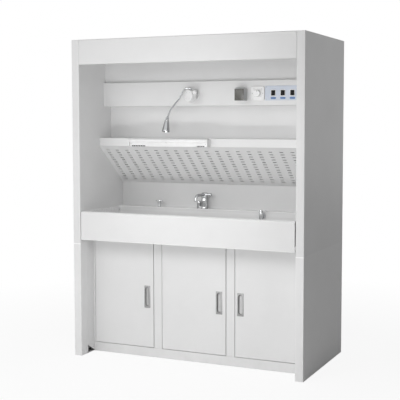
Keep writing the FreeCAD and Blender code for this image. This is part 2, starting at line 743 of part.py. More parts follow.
def round_tub(box, radius, floor_z):
    """Round the upright corners and the floor edges of a tub."""
    edges = []
    for edge in box.Edges:
        along = edge.tangentAt(edge.FirstParameter)
        on_floor = abs(edge.CenterOfMass.z - floor_z) < SHEET / 2
        if abs(along.z) > 0.9 or on_floor:
            edges.append(edge)
    return box.makeFillet(radius, edges)


def make_drain():
    """The sink outlet: flanged body, lift-out basket, bottle trap and waste pipe to the rear."""
    seat_z = BASIN_FLOOR_Z
    body_low = -DRAIN_BODY_DEEP
    wall = 2 * SHEET
    flange = [
        (TAIL_R, body_low - wall),
        (DRAIN_THROAT_R + wall, body_low - wall),
        (DRAIN_THROAT_R + wall, 0),
        (DRAIN_FLANGE_R, 0),
        (DRAIN_FLANGE_R, SHEET),
        (DRAIN_THROAT_R, SHEET),
        (DRAIN_THROAT_R, body_low),
        (TAIL_R, body_low),
    ]
    save("drain_flange", turned(flange, V(DRAIN_X, DRAIN_Y, seat_z)))
    basket_r = DRAIN_THROAT_R - BASKET_FIT
    basket_inner = basket_r - BASKET_WALL
    basket_low = -BASKET_DEEP
    lip_z = SHEET + SEAT_GAP
    cup = [
        (0, basket_low),
        (basket_r, basket_low),
        (basket_r, lip_z),
        (DRAIN_FLANGE_R - SHEET, lip_z),
        (DRAIN_FLANGE_R - SHEET, lip_z + BASKET_WALL),
        (basket_inner, lip_z + BASKET_WALL),
        (basket_inner, basket_low + BASKET_WALL),
        (PIN_R, basket_low + BASKET_WALL),
        (PIN_R, BASKET_WALL),
        (0, BASKET_WALL),
    ]
    basket = turned(cup, V(DRAIN_X, DRAIN_Y, seat_z))
    for index in range(BASKET_HOLES):
        angle = 2 * math.pi * index / BASKET_HOLES
        reach = basket_inner * 0.6
        x = DRAIN_X + reach * math.cos(angle)
        y = DRAIN_Y + reach * math.sin(angle)
        hole_z = seat_z + basket_low
        basket = basket.cut(rod(BASKET_HOLE_R, V(x, y, hole_z - SHEET), V(x, y, hole_z + wall)))
    save("drain_basket", basket)
    trap_top = seat_z + body_low - wall - TRAP_TAIL
    trap_low = trap_top - TRAP_TALL
    inner_r = TRAP_R - wall
    tail_low = trap_low + TRAP_TALL / 3
    body = [
        (0, trap_low), (TRAP_R, trap_low), (TRAP_R, trap_top), (TAIL_R, trap_top),
        (TAIL_R, trap_top - wall), (inner_r, trap_top - wall), (inner_r, trap_low + wall), (0, trap_low + wall),
    ]
    tail = ring(TAIL_R, TAIL_BORE_R, V(DRAIN_X, DRAIN_Y, tail_low), V(DRAIN_X, DRAIN_Y, seat_z + body_low))
    outlet_z = trap_top - TRAP_TALL / 3
    trap = turned(body, V(DRAIN_X, DRAIN_Y, 0))
    side_start = V(DRAIN_X, DRAIN_Y + inner_r, outlet_z)
    side_end = V(DRAIN_X, DRAIN_Y + TRAP_R + TRAP_TAIL / 2, outlet_z)
    trap = trap.cut(rod(TAIL_R, side_start - V(0, wall, 0), side_end))
    outlet = ring(TAIL_R, TAIL_BORE_R, side_start, side_end)
    trap = trap.fuse([tail, outlet]).removeSplitter()
    fall = [
        side_end,
        V(DRAIN_X, DRAIN_Y + WASTE_LEVEL, outlet_z),
        V(DRAIN_X, DRAIN_Y + WASTE_LEVEL + WASTE_SLOPE, WASTE_Z),
        V(DRAIN_X, STUB_END_Y, WASTE_Z),
    ]
    waste = swept_pipe(fall, [WASTE_BEND] * 2, TAIL_R, TAIL_BORE_R)
    waste = waste.fuse(stub_collar(DRAIN_X, WASTE_Z, TAIL_R, TAIL_BORE_R)).removeSplitter()
    save("waste_line", trap, waste)


def stub_collar(x, z, radius, bore_r):
    """A collar round a pipe, seated on the outside of the lower rear cover."""
    seat = V(x, LOWER_REAR_Y + SHEET, z)
    return ring(radius + STUB_COLLAR_WALL, bore_r, seat, seat + V(0, STUB_COLLAR, 0))


def make_supply_pipes():
    """Water pipes from the taps, down behind the basin and out through the lower rear cover."""
    tap_run = [
        V(TAP_X, TAP_Y, RIM_Z),
        V(TAP_X, TAP_Y, SUPPLY_Z),
        V(TAP_X, STUB_END_Y, SUPPLY_Z),
    ]
    spray_run = [
        V(SPRAY_X, BASIN_BACK_Y, SPRAY_Z),
        V(SPRAY_X, SPRAY_PIPE_Y, SPRAY_Z),
        V(SPRAY_X, SPRAY_PIPE_Y, SUPPLY_Z),
        V(SPRAY_X, STUB_END_Y, SUPPLY_Z),
    ]
    branch_run = [
        V(RINSE_X, TAP_Y, RIM_Z),
        V(RINSE_X, TAP_Y, BRANCH_Z),
        V(TAP_X - PIPE_BORE_R, TAP_Y, BRANCH_Z),
    ]
    tap_pipe = swept_pipe(tap_run, [PIPE_BEND], PIPE_R, PIPE_BORE_R)
    branch = swept_pipe(branch_run, [PIPE_BEND], PIPE_R, PIPE_BORE_R)
    joined_bore = rod(PIPE_BORE_R, branch_run[2] - V(PIPE_R, 0, 0), V(TAP_X, TAP_Y, BRANCH_Z))
    tap_pipe = tap_pipe.fuse(branch).cut(joined_bore)
    spray_pipe = swept_pipe(spray_run, [PIPE_BEND, PIPE_BEND], PIPE_R, PIPE_BORE_R)
    pipes = []
    for pipe, x in ((tap_pipe, TAP_X), (spray_pipe, SPRAY_X)):
        pipes.append(pipe.fuse(stub_collar(x, SUPPLY_Z, PIPE_R, PIPE_BORE_R)).removeSplitter())
    save("supply_pipes", *pipes)


def make_tap():
    """Lever tap on the ledge: fixed column and side block, swivelling spout head, quarter-turn knob."""
    base = V(TAP_X, TAP_Y, RIM_Z)
    spindle_r = TAP_R / 2
    spindle_tall = TAP_HEAD / 2
    column = [
        (0, 0), (TAP_R + 2 * BEND, 0), (TAP_R + 2 * BEND, BEND), (TAP_R, 2 * BEND), (TAP_R, TAP_COLUMN),
        (spindle_r, TAP_COLUMN), (spindle_r, TAP_COLUMN + spindle_tall), (0, TAP_COLUMN + spindle_tall),
    ]
    side = base - V(TAP_BLOCK_X, 0, 0)
    block_profile = [
        (0, 0), (TAP_BLOCK_R, 0), (TAP_BLOCK_R, TAP_BLOCK_TALL - BEND),
        (TAP_BLOCK_R - BEND, TAP_BLOCK_TALL), (0, TAP_BLOCK_TALL),
    ]
    bridge_half = TAP_BLOCK_R * 0.8
    bridge_ys = (TAP_Y - bridge_half, TAP_Y + bridge_half)
    bridge = block((side.x, base.x), bridge_ys, (RIM_Z, RIM_Z + TAP_BLOCK_R))
    body = turned(column, base).fuse([turned(block_profile, side), bridge]).removeSplitter()
    save("tap_body", body)
    head_z = TAP_COLUMN + SEAT_GAP
    head = [
        (0, head_z), (TAP_R, head_z), (TAP_R, head_z + TAP_HEAD - 2 * BEND),
        (TAP_R - 2 * BEND, head_z + TAP_HEAD), (0, head_z + TAP_HEAD),
    ]
    spout_z = RIM_Z + head_z + SPOUT_UP
    tip_y = TAP_Y - SPOUT_REACH
    spout_path = [
        V(TAP_X, TAP_Y - TAP_R / 2, spout_z),
        V(TAP_X, tip_y + SPOUT_DROP * 0.5, spout_z + BEND),
        V(TAP_X, tip_y, spout_z - SPOUT_DROP),
    ]
    spout = swept_bar(spout_path, [SPOUT_BEND], SPOUT_R)
    outlet = rod(SPOUT_R - 2 * SHEET, spout_path[2], spout_path[2] + (spout_path[1] - spout_path[2]) * 0.4)
    knob_start = V(TAP_X + TAP_R, TAP_Y, spout_z)
    spindle_end = knob_start + V(TAP_LEVER_LONG / 2, 0, 0)
    spindle = rod(TAP_SPINDLE_R, knob_start - V(TAP_R / 2, 0, 0), spindle_end)
    head_solid = turned(head, base).fuse([spout, spindle]).cut(outlet)
    socket = rod(spindle_r + JOINT_FIT, base, base + V(0, 0, TAP_COLUMN + spindle_tall + SEAT_GAP))
    save("tap_spout", head_solid.cut(socket).removeSplitter())
    knob = [
        (0, SEAT_GAP), (TAP_LEVER_R, SEAT_GAP), (TAP_LEVER_R + BEND, BEND * 2),
        (TAP_LEVER_R + BEND, TAP_LEVER_LONG - BEND), (TAP_LEVER_R, TAP_LEVER_LONG), (0, TAP_LEVER_LONG),
    ]
    knob_solid = turned(knob, knob_start, V(1, 0, 0))
    knob_solid = knob_solid.cut(rod(TAP_SPINDLE_R + JOINT_FIT, knob_start, spindle_end + V(SEAT_GAP, 0, 0)))
    save("tap_lever", knob_solid)


def make_sprayer():
    """Small wall tap on the rear wall of the basin, with a sloping outlet and a lever on top."""
    low = V(SPRAY_X, SPRAY_Y, SPRAY_Z - SPRAY_TALL / 2)
    spindle_r = SPRAY_STUB_R / 2
    column = [
        (0, 0), (SPRAY_R - BEND, 0), (SPRAY_R, BEND), (SPRAY_R, SPRAY_TALL), (spindle_r, SPRAY_TALL),
        (spindle_r, SPRAY_TALL + SPRAY_LEVER_THICK), (0, SPRAY_TALL + SPRAY_LEVER_THICK),
    ]
    wall_point = V(SPRAY_X, BASIN_BACK_Y, SPRAY_Z)
    stub = rod(SPRAY_STUB_R, V(SPRAY_X, SPRAY_Y, SPRAY_Z), wall_point)
    rose = rod(SPRAY_ROSE_R, wall_point - V(0, 2 * SHEET, 0), wall_point)
    mouth = low + V(2 * SPRAY_R, -2 * SPRAY_R, -SPRAY_R)
    outlet = rod(SPRAY_STUB_R * 0.8, low + V(0, 0, SPRAY_R), mouth)
    bore = rod(SPRAY_STUB_R * 0.5, mouth, mouth + (low - mouth) * 0.4)
    save("sprayer_body", turned(column, low).fuse([stub, rose, outlet]).cut(bore).removeSplitter())
    top = low + V(0, 0, SPRAY_TALL)
    hub_tall = 2 * SPRAY_LEVER_THICK
    hub = [(0, SEAT_GAP), (SPRAY_R - BEND, SEAT_GAP), (SPRAY_R - BEND, hub_tall - BEND), (0, hub_tall)]
    arm_z = top.z + SPRAY_LEVER_THICK / 2
    arm = block(
        (SPRAY_X, SPRAY_X + SPRAY_LEVER_LONG),
        (SPRAY_Y - SPRAY_LEVER_THICK, SPRAY_Y + SPRAY_LEVER_THICK),
        (arm_z, arm_z + SPRAY_LEVER_THICK))
    lever = turned(hub, top).fuse(arm)
    lever = lever.cut(rod(spindle_r + JOINT_FIT, top, top + V(0, 0, SPRAY_LEVER_THICK + SEAT_GAP)))
    save("sprayer_lever", lever.removeSplitter())


def make_rinse_valve():
    """Small valve on the ledge: a turned body, and a hub with a cross bar that turns on its stem."""
    base = V(RINSE_X, TAP_Y, RIM_Z)
    body = [
        (0, 0),
        (RINSE_R + 2 * BEND, 0),
        (RINSE_R + 2 * BEND, BEND),
        (RINSE_R, 2 * BEND),
        (RINSE_R, RINSE_TALL),
        (RINSE_STEM_R, RINSE_TALL),
        (RINSE_STEM_R, RINSE_TALL + RINSE_STEM_TALL),
        (0, RINSE_TALL + RINSE_STEM_TALL),
    ]
    save("rinse_valve_body", turned(body, base))
    top = base + V(0, 0, RINSE_TALL)
    hub = [
        (0, SEAT_GAP), (RINSE_HUB_R, SEAT_GAP), (RINSE_HUB_R, RINSE_HUB_TALL - BEND),
        (RINSE_HUB_R - BEND, RINSE_HUB_TALL), (0, RINSE_HUB_TALL),
    ]
    half = RINSE_BAR_LONG / 2
    end = half - BEND
    bar = [
        (0, -half), (RINSE_BAR_R - BEND, -half), (RINSE_BAR_R, -end), (RINSE_BAR_R, end),
        (RINSE_BAR_R - BEND, half), (0, half),
    ]
    bar_solid = turned(bar, top + V(0, 0, RINSE_HUB_TALL / 2), V(1, 0, 0))
    socket = rod(RINSE_STEM_R + JOINT_FIT, top, top + V(0, 0, RINSE_STEM_TALL + SEAT_GAP))
    save("rinse_valve_bar", turned(hub, top).fuse(bar_solid).cut(socket).removeSplitter())


def make_bar_lamp():
    """The long lamp on the lip: stepped housing with end caps, and a rounded diffuser."""
    low_z = BAR_LOW_Z
    step_z = low_z + BAR_STEP_Z
    top_z = low_z + BAR_TALL
    spine_y = LIP_Y - BAR_DEEP / 3
    lower_y = LIP_Y - BAR_LOWER_DEEP
    front_y = LIP_Y - BAR_DEEP
    start = BAR_LEFT_X + BAR_CAP
    length = BAR_RIGHT_X - BAR_LEFT_X - 2 * BAR_CAP
    outline = [
        V(start, LIP_Y, low_z),
        V(start, LIP_Y, top_z),
        V(start, spine_y, top_z),
        V(start, spine_y, step_z),
        V(start, lower_y, step_z),
        V(start, lower_y, low_z + BEND),
        V(start, lower_y + BEND, low_z),
    ]
    housing = Part.Face(Part.makePolygon(outline + [outline[0]])).extrude(V(length, 0, 0))
    for offset, long in BAR_SLOTS:
        slot_xs = (BAR_LEFT_X + offset, BAR_LEFT_X + offset + long)
        slot_ys = (lower_y - SHEET, lower_y + 2 * BAR_CAP)
        housing = housing.cut(block(slot_xs, slot_ys, (low_z - SHEET, low_z + BAR_SLOT_TALL)))
    caps = []
    for x in (BAR_LEFT_X, BAR_RIGHT_X - BAR_CAP):
        cap = block((x, x + BAR_CAP), (front_y, LIP_Y), (low_z, top_z))
        near = [edge for edge in cap.Edges if abs(edge.CenterOfMass.y - front_y) < SHEET]
        caps.append(cap.makeFillet(BAR_TUBE_R, [edge for edge in near if edge.Length < BAR_TALL / 2]))
    save("bar_lamp_body", housing, *caps)
    tube = block((start, start + length), (front_y + BEND, spine_y), (step_z, top_z - BEND))
    near = [edge for edge in tube.Edges if abs(edge.CenterOfMass.y - front_y) < 2 * BEND]
    save("bar_lamp_tube", tube.makeFillet(BAR_TUBE_R, [edge for edge in near if edge.Length > BAR_TALL]))


def lamp_direction():
    """Unit vector along the axis of the lamp drum, turned from the wall towards the left."""
    turn = math.radians(DRUM_TURN)
    return V(-math.sin(turn), -math.cos(turn), 0)


def make_task_lamp():
    """Wall rose and post, swivelling drum with its knob, bent neck, and a conical head on a pin."""
    forward = lamp_direction()
    sideways = forward.cross(V(0, 0, -1))
    root = V(LAMP_X, BAND_Y, LAMP_Z)
    shoulder = root + V(0, -LAMP_ROSE_DEEP, 0) + forward * DRUM_STAND
    spindle_r = LAMP_SPINDLE_R
    rose = rod(LAMP_ROSE_R, root, root - V(0, LAMP_ROSE_DEEP, 0))
    post = rod(LAMP_POST_R, root - V(0, LAMP_ROSE_DEEP / 2, 0), shoulder + forward * BEND)
    post = post.cut(rod(DRUM_R, shoulder, shoulder + forward * DRUM_DEEP))
    spindle = rod(spindle_r, shoulder - forward * BEND, shoulder + forward * (DRUM_DEEP / 2))
    save("lamp_mount", rose.fuse([post, spindle]).removeSplitter())
    drum_back = shoulder + forward * SEAT_GAP
    drum_profile = [
        (0, 0), (DRUM_R - BEND, 0), (DRUM_R, BEND), (DRUM_R, DRUM_DEEP - BEND), (DRUM_R - BEND, DRUM_DEEP),
        (0, DRUM_DEEP),
    ]
    drum = turned(drum_profile, drum_back, forward)
    drum = drum.cut(rod(spindle_r + JOINT_FIT, drum_back, shoulder + forward * (DRUM_DEEP / 2 + SEAT_GAP)))
    middle = drum_back + forward * (DRUM_DEEP / 2)
    knob_way = sideways * math.cos(math.radians(KNOB_LIFT)) + V(0, 0, math.sin(math.radians(KNOB_LIFT)))
    knob_seat = middle + knob_way * DRUM_R
    stem_r = KNOB_R / 3
    stem = rod(stem_r, knob_seat - knob_way * KNOB_R / 2, knob_seat + knob_way * (KNOB_R * 0.8))
    neck_points = [middle + V(*offset) for offset in NECK_OFFSETS]
    neck = swept_bar(neck_points, NECK_RADII, NECK_R)
    save("lamp_drum", drum.fuse(stem).cut(neck).removeSplitter())
    knob_profile = [
        (0, BEND), (KNOB_R * 0.8, BEND), (KNOB_R, KNOB_R * 0.4), (KNOB_R, KNOB_R),
        (KNOB_R * 0.7, KNOB_R * 1.5), (0, KNOB_R * 1.6),
    ]
    knob = turned(knob_profile, knob_seat, knob_way)
    knob = knob.cut(rod(stem_r + JOINT_FIT, knob_seat, knob_seat + knob_way * (KNOB_R * 0.8 + SEAT_GAP)))
    save("lamp_knob", knob)
    pivot = neck_points[-1]
    eye_half = NECK_EYE_HALF
    eye = rod(NECK_EYE_R, pivot - V(eye_half, 0, 0), pivot + V(eye_half, 0, 0))
    eye_bore = rod(HEAD_PIN_R + JOINT_FIT, pivot - V(2 * eye_half, 0, 0), pivot + V(2 * eye_half, 0, 0))
    save("gooseneck", neck.fuse(eye).cut(eye_bore).removeSplitter())
    cheek_in = eye_half + SEAT_GAP
    cheek_out = cheek_in + 2 * SHEET
    top_z = pivot.z - NECK_R * 2.4
    cheeks = []
    for side in (-1, 1):
        xs = sorted((pivot.x + side * cheek_in, pivot.x + side * cheek_out))
        cheeks.append(block(xs, (pivot.y - NECK_R, pivot.y + NECK_R), (top_z - SHEET, pivot.z + NECK_R)))
    pin = rod(HEAD_PIN_R, pivot - V(cheek_out, 0, 0), pivot + V(cheek_out, 0, 0))
    low_z = top_z - HEAD_LONG
    shade_profile = [
        (0, top_z), (HEAD_TOP_R, top_z), (HEAD_LOW_R, low_z), (HEAD_LOW_R - HEAD_WALL, low_z),
        (HEAD_TOP_R - HEAD_WALL, top_z - HEAD_WALL * 2), (0, top_z - HEAD_WALL * 2),
    ]
    shade = turned(shade_profile, V(pivot.x, pivot.y, 0))
    head = shade.fuse(cheeks + [pin]).removeSplitter()
    save("lamp_head", head.rotate(pivot, V(1, 0, 0), -HEAD_TILT))
    taper = (HEAD_LOW_R - HEAD_TOP_R) / HEAD_LONG
    lens_r = HEAD_LOW_R - HEAD_WALL * 1.2 - taper * (LENS_INSET + LENS_THICK)
    lens_low = V(pivot.x, pivot.y, low_z + LENS_INSET)
    lens = Part.makeCylinder(lens_r, LENS_THICK, lens_low)
    save("lamp_lens", lens.rotate(pivot, V(1, 0, 0), -HEAD_TILT))


def make_socket():
    """Splash-proof mains socket: open box, faceplate inside, and a lid on a pin along its top."""
    half = SOCKET_WIDE / 2
    xs = (SOCKET_X - half, SOCKET_X + half)
    top_z = SOCKET_LOW_Z + SOCKET_TALL
    front_y = BAND_Y - SOCKET_DEEP
    shell = block(xs, (front_y, BAND_Y), (SOCKET_LOW_Z, top_z))
    inner_xs = (xs[0] + SOCKET_WALL, xs[1] - SOCKET_WALL)
    inner_zs = (SOCKET_LOW_Z + SOCKET_WALL, top_z - SOCKET_WALL)
    shell = shell.cut(block(inner_xs, (front_y - SHEET, BAND_Y - SOCKET_WALL), inner_zs))
    pivot = V(SOCKET_X, front_y - SOCKET_WALL, top_z + 2 * SOCKET_PIN_R)
    barrel_r = 2 * SOCKET_PIN_R
    third = half / 3
    barrel = rod(barrel_r, pivot - V(third, 0, 0), pivot + V(third, 0, 0))
    web_ys = (pivot.y, front_y + barrel_r)
    web = block((SOCKET_X - third, SOCKET_X + third), web_ys, (top_z - SEAT_GAP, pivot.z))
    pin = rod(SOCKET_PIN_R, pivot - V(half - SEAM, 0, 0), pivot + V(half - SEAM, 0, 0))
    clear = block(xs, (pivot.y - barrel_r, front_y), (SOCKET_LOW_Z, top_z))
    save("socket_box", shell.fuse([barrel, web.cut(clear), pin]).removeSplitter())
    insert_y = BAND_Y - SOCKET_WALL - 2 * BEND
    insert = block(inner_xs, (insert_y, BAND_Y - SOCKET_WALL), inner_zs)
    for dx, dz in SOCKET_HOLES:
        hole = V(SOCKET_X + dx, insert_y - SHEET, SOCKET_LOW_Z + SOCKET_TALL / 2 + dz)
        insert = insert.cut(rod(SOCKET_HOLE_R, hole, hole + V(0, 2 * BEND, 0)))
    save("socket_insert", insert)
    lid_back = front_y - SEAT_GAP
    lid = block(xs, (lid_back - SOCKET_LID_DEEP, lid_back), (SOCKET_LOW_Z, top_z))
    lid_front = lid_back - SOCKET_LID_DEEP
    lid_edges = [edge for edge in lid.Edges if abs(edge.CenterOfMass.y - lid_front) < SHEET]
    lid = lid.makeFillet(BEND, lid_edges)
    lid = lid.cut(block(inner_xs, (lid_back - SOCKET_LID_DEEP + 1.5 * BEND, lid_back + SHEET), inner_zs))
    ears = []
    for side in (-1, 1):
        ear_xs = sorted((SOCKET_X + side * (third + SEAT_GAP), SOCKET_X + side * (half - SEAM)))
        ears.append(rod(barrel_r, V(ear_xs[0], pivot.y, pivot.z), V(ear_xs[1], pivot.y, pivot.z)))
        ears.append(block(ear_xs, (pivot.y - barrel_r, pivot.y), (top_z - SOCKET_WALL / 2, pivot.z)))
    lid = lid.fuse(ears)
    middle_gap = third + SEAT_GAP
    notch_ys = (pivot.y - barrel_r - SEAT_GAP, lid_back + SHEET)
    notch_xs = (SOCKET_X - middle_gap, SOCKET_X + middle_gap)
    lid = lid.cut(block(notch_xs, notch_ys, (top_z - SEAT_GAP * 2, top_z + WALL)))
    pin_bore = rod(SOCKET_PIN_R + JOINT_FIT, pivot - V(half, 0, 0), pivot + V(half, 0, 0))
    save("socket_lid", lid.cut(pin_bore).removeSplitter())


def make_speed_control():
    """Square wall plate with the round speed knob on its spindle."""
    centre = V(PLATE_X, BAND_Y, PLATE_Z)
    half = PLATE_SIDE / 2
    front_y = BAND_Y - PLATE_DEEP
    plate = block((PLATE_X - half, PLATE_X + half), (front_y, BAND_Y), (PLATE_Z - half, PLATE_Z + half))
    rim = [edge for edge in plate.Edges if edge.CenterOfMass.y < BAND_Y - SHEET]
    plate = plate.makeFillet(BEND, rim)
    bore_start = centre - V(0, PLATE_DEEP + SHEET, 0)
    save("speed_plate", plate.cut(rod(SPEED_SHAFT_R + JOINT_FIT, bore_start, centre + V(0, SHEET, 0))))
    shaft_end = -(PLATE_DEEP + 2 * SHEET)
    knob = [
        (0, shaft_end), (SPEED_SHAFT_R, shaft_end), (SPEED_SHAFT_R, SEAT_GAP), (SPEED_R, SEAT_GAP),
        (SPEED_R, BEND), (SPEED_R - BEND, SPEED_DEEP - BEND), (SPEED_R - 2 * BEND, SPEED_DEEP),
        (0, SPEED_DEEP),
    ]
    solid = turned(knob, V(PLATE_X, front_y, PLATE_Z), V(0, -1, 0))
    pointer_top = SPEED_R - 2 * BEND
    pointer = block(
        (PLATE_X - SHEET / 2, PLATE_X + SHEET / 2),
        (front_y - SPEED_DEEP - SHEET, front_y - SPEED_DEEP + SHEET / 2),
        (PLATE_Z + pointer_top / 2, PLATE_Z + pointer_top))
    save("speed_knob", solid.cut(pointer))


def rocker_prism(x, margin, ys):
    """The rectangle of a rocker grown by a margin, as a block between two depths."""
    wide = ROCKER_WIDE / 2 + margin
    tall = ROCKER_TALL / 2 + margin
    return block((x - wide, x + wide), ys, (ROCKER_Z - tall, ROCKER_Z + tall))


def make_control_panel():
    """Coloured plate with three rocker switches, each a framed body with a rocker on two stub pins."""
    plate_ys = (BAND_Y - PANEL_THICK, BAND_Y)
    plate = block((PANEL_LEFT_X, PANEL_RIGHT_X), plate_ys, (PANEL_LOW_Z, PANEL_LOW_Z + PANEL_TALL))
    front_y = plate_ys[0] - BEZEL_PROUD
    pivot_y = plate_ys[0] + ROCKER_PIVOT_IN
    rear_y = pivot_y + ROCKER_DEEP
    bodies = []
    names = ("left", "middle", "right")
    for name, x in zip(names, ROCKER_XS):
        plate = plate.cut(rocker_prism(x, ROCKER_GAP + SHEET, (plate_ys[0] - SHEET, BAND_Y + SHEET)))
        body = rocker_prism(x, ROCKER_GAP + SHEET, (plate_ys[0], rear_y + SHEET))
        body = body.fuse(rocker_prism(x, ROCKER_GAP + BEZEL_RIM, (front_y, plate_ys[0])))
        body = body.cut(rocker_prism(x, ROCKER_GAP, (front_y - SHEET, rear_y)))
        pivot = V(x, pivot_y, ROCKER_Z)
        pin_half = ROCKER_WIDE / 2 + SHEET
        pin_r = SOCKET_PIN_R
        bore = rod(pin_r + JOINT_FIT, pivot - V(pin_half + SHEET, 0, 0), pivot + V(pin_half + SHEET, 0, 0))
        bodies.append(body.cut(bore).removeSplitter())
        middle_y = front_y - ROCKER_PROUD / 2
        tall = ROCKER_TALL / 2
        outline = [
            V(x - ROCKER_WIDE / 2, middle_y, ROCKER_Z),
            V(x - ROCKER_WIDE / 2, front_y - ROCKER_PROUD, ROCKER_Z + tall),
            V(x - ROCKER_WIDE / 2, pivot_y + ROCKER_DEEP / 2, ROCKER_Z + tall),
            V(x - ROCKER_WIDE / 2, pivot_y + ROCKER_DEEP / 2, ROCKER_Z - tall),
            V(x - ROCKER_WIDE / 2, front_y - ROCKER_PROUD, ROCKER_Z - tall),
        ]
        rocker = Part.Face(Part.makePolygon(outline + [outline[0]])).extrude(V(ROCKER_WIDE, 0, 0))
        rocker = rocker.common(rod(tall, pivot - V(ROCKER_WIDE, 0, 0), pivot + V(ROCKER_WIDE, 0, 0)))
        rocker = rocker.fuse(rod(pin_r, pivot - V(pin_half, 0, 0), pivot + V(pin_half, 0, 0)))
        rocker = rocker.removeSplitter()
        rocker.rotate(pivot, V(1, 0, 0), -ROCKER_TILT)
        save("rocker_" + name, rocker)
    save("control_plate", plate)
    save("switch_bodies", *bodies)


def make_exhaust():
    """Filter shelf and cassette, axial fan under the roof, spigot for the duct, and the mains gland."""
    shelf_ys = (UPPER_BACK_Y + 2 * BEND, REAR_Y - SHEET - SEAT_GAP)
    shelf = block((-PANEL_HALF, PANEL_HALF), shelf_ys, (SHELF_Z, SHELF_Z + SHEET))
    opening_x = FILTER_WIDE / 2 - FILTER_RIM
    opening_y = FILTER_DEEP / 2 - FILTER_RIM
    opening_xs = (DUCT_X - opening_x, DUCT_X + opening_x)
    opening_ys = (DUCT_Y - opening_y, DUCT_Y + opening_y)
    shelf = shelf.cut(block(opening_xs, opening_ys, (SHELF_Z - SHEET, SHELF_Z + 2 * SHEET)))
    save("filter_shelf", shelf)
    low_z = SHELF_Z + SHEET
    frame_xs = (DUCT_X - FILTER_WIDE / 2, DUCT_X + FILTER_WIDE / 2)
    frame_ys = (DUCT_Y - FILTER_DEEP / 2, DUCT_Y + FILTER_DEEP / 2)
    frame = block(frame_xs, frame_ys, (low_z, low_z + FILTER_TALL))
    frame = frame.cut(block(opening_xs, opening_ys, (low_z - SHEET, low_z + FILTER_TALL + SHEET)))
    save("filter_cassette", frame, pleated_media(opening_xs, opening_ys, low_z + FILTER_TALL / 2))
    roof_low = HEIGHT - SHEET
    fan_low = roof_low - FAN_TALL
    bore_r = DUCT_R - DUCT_WALL
    centre = V(DUCT_X, DUCT_Y, 0)
    sleeve = [
        (bore_r, fan_low), (DUCT_R, fan_low), (DUCT_R, roof_low - SHEET),
        (DUCT_R + SPIGOT_FLANGE, roof_low - SHEET), (DUCT_R + SPIGOT_FLANGE, roof_low), (bore_r, roof_low),
    ]
    housing = turned(sleeve, centre)
    strut_half = STRUT_WIDE / 2
    struts = []
    for angle in (0, 90):
        strut_reach = bore_r + DUCT_WALL / 2
        strut_xs = (-strut_reach, strut_reach)
        strut = block(strut_xs, (-strut_half, strut_half), (fan_low, fan_low + STRUT_WIDE))
        strut.rotate(V(0, 0, 0), V(0, 0, 1), angle)
        strut.translate(centre)
        struts.append(strut)
    housing = housing.fuse(struts)
    motor_low = fan_low + STRUT_WIDE
    save("fan_housing", housing.removeSplitter())
    hub_low = motor_low + MOTOR_TALL + 2 * BEND
    hub_top = hub_low + HUB_TALL
    motor = [
        (0, motor_low), (MOTOR_R, motor_low), (MOTOR_R, motor_low + MOTOR_TALL - BEND),
        (MOTOR_R - BEND, motor_low + MOTOR_TALL), (SHAFT_R, motor_low + MOTOR_TALL),
        (SHAFT_R, hub_top - 2 * BEND), (0, hub_top - 2 * BEND),
    ]
    save("fan_motor", turned(motor, centre))
    shoulder = 2 * BEND
    hub = [
        (0, hub_low), (HUB_R, hub_low), (HUB_R, hub_top - shoulder),
        (HUB_R - shoulder, hub_top), (0, hub_top),
    ]
    impeller = turned(hub, centre)
    tip_r = bore_r - FAN_TIP_GAP
    blades = []
    for index in range(BLADES):
        blade = block((HUB_R - BEND, tip_r + BEND), (-HUB_TALL / 2, HUB_TALL / 2), (-SHEET, SHEET))
        blade.rotate(V(0, 0, 0), V(1, 0, 0), BLADE_TWIST)
        blade.rotate(V(0, 0, 0), V(0, 0, 1), index * 360 / BLADES)
        blade.translate(centre + V(0, 0, (hub_low + hub_top) / 2))
        blades.append(blade)
    sweep = rod(tip_r, centre + V(0, 0, fan_low), centre + V(0, 0, roof_low))
    impeller = impeller.fuse(blades).common(sweep)
    bore_top = centre + V(0, 0, hub_top - shoulder + SEAT_GAP)
    impeller = impeller.cut(rod(SHAFT_R + JOINT_FIT, centre + V(0, 0, hub_low), bore_top))
    save("fan_impeller", impeller.removeSplitter())
    spigot = [
        (bore_r, HEIGHT), (DUCT_R + SPIGOT_FLANGE, HEIGHT), (DUCT_R + SPIGOT_FLANGE, HEIGHT + SHEET),
        (DUCT_R, HEIGHT + SHEET), (DUCT_R, HEIGHT + SPIGOT_TALL), (bore_r, HEIGHT + SPIGOT_TALL),
    ]
    save("exhaust_spigot", turned(spigot, centre))
    gland = [
        (GLAND_BORE_R, roof_low - GLAND_R), (GLAND_BORE_R + SHEET, roof_low - GLAND_R),
        (GLAND_BORE_R + SHEET, HEIGHT), (GLAND_R, HEIGHT), (GLAND_R, HEIGHT + GLAND_TALL / 2),
        (GLAND_R - BEND, HEIGHT + GLAND_TALL), (GLAND_BORE_R, HEIGHT + GLAND_TALL),
    ]
    save("power_gland", turned(gland, V(GLAND_X, GLAND_Y, 0)))


def pleated_media(xs, ys, middle_z):
    """A sheet of filter medium folded in zigzag from one side of its frame to the other."""
    step = (xs[1] - xs[0]) / (2 * PLEATS)
    lower = []
    for index in range(2 * PLEATS + 1):
        rise = PLEAT_DEEP if index % 2 else -PLEAT_DEEP
        lower.append(V(xs[0] + index * step, ys[0], middle_z + rise - FILTER_SKIN / 2))
    upper = [point + V(0, 0, FILTER_SKIN) for point in reversed(lower)]
    outline = lower + upper
    return Part.Face(Part.makePolygon(outline + [outline[0]])).extrude(V(0, ys[1] - ys[0], 0))


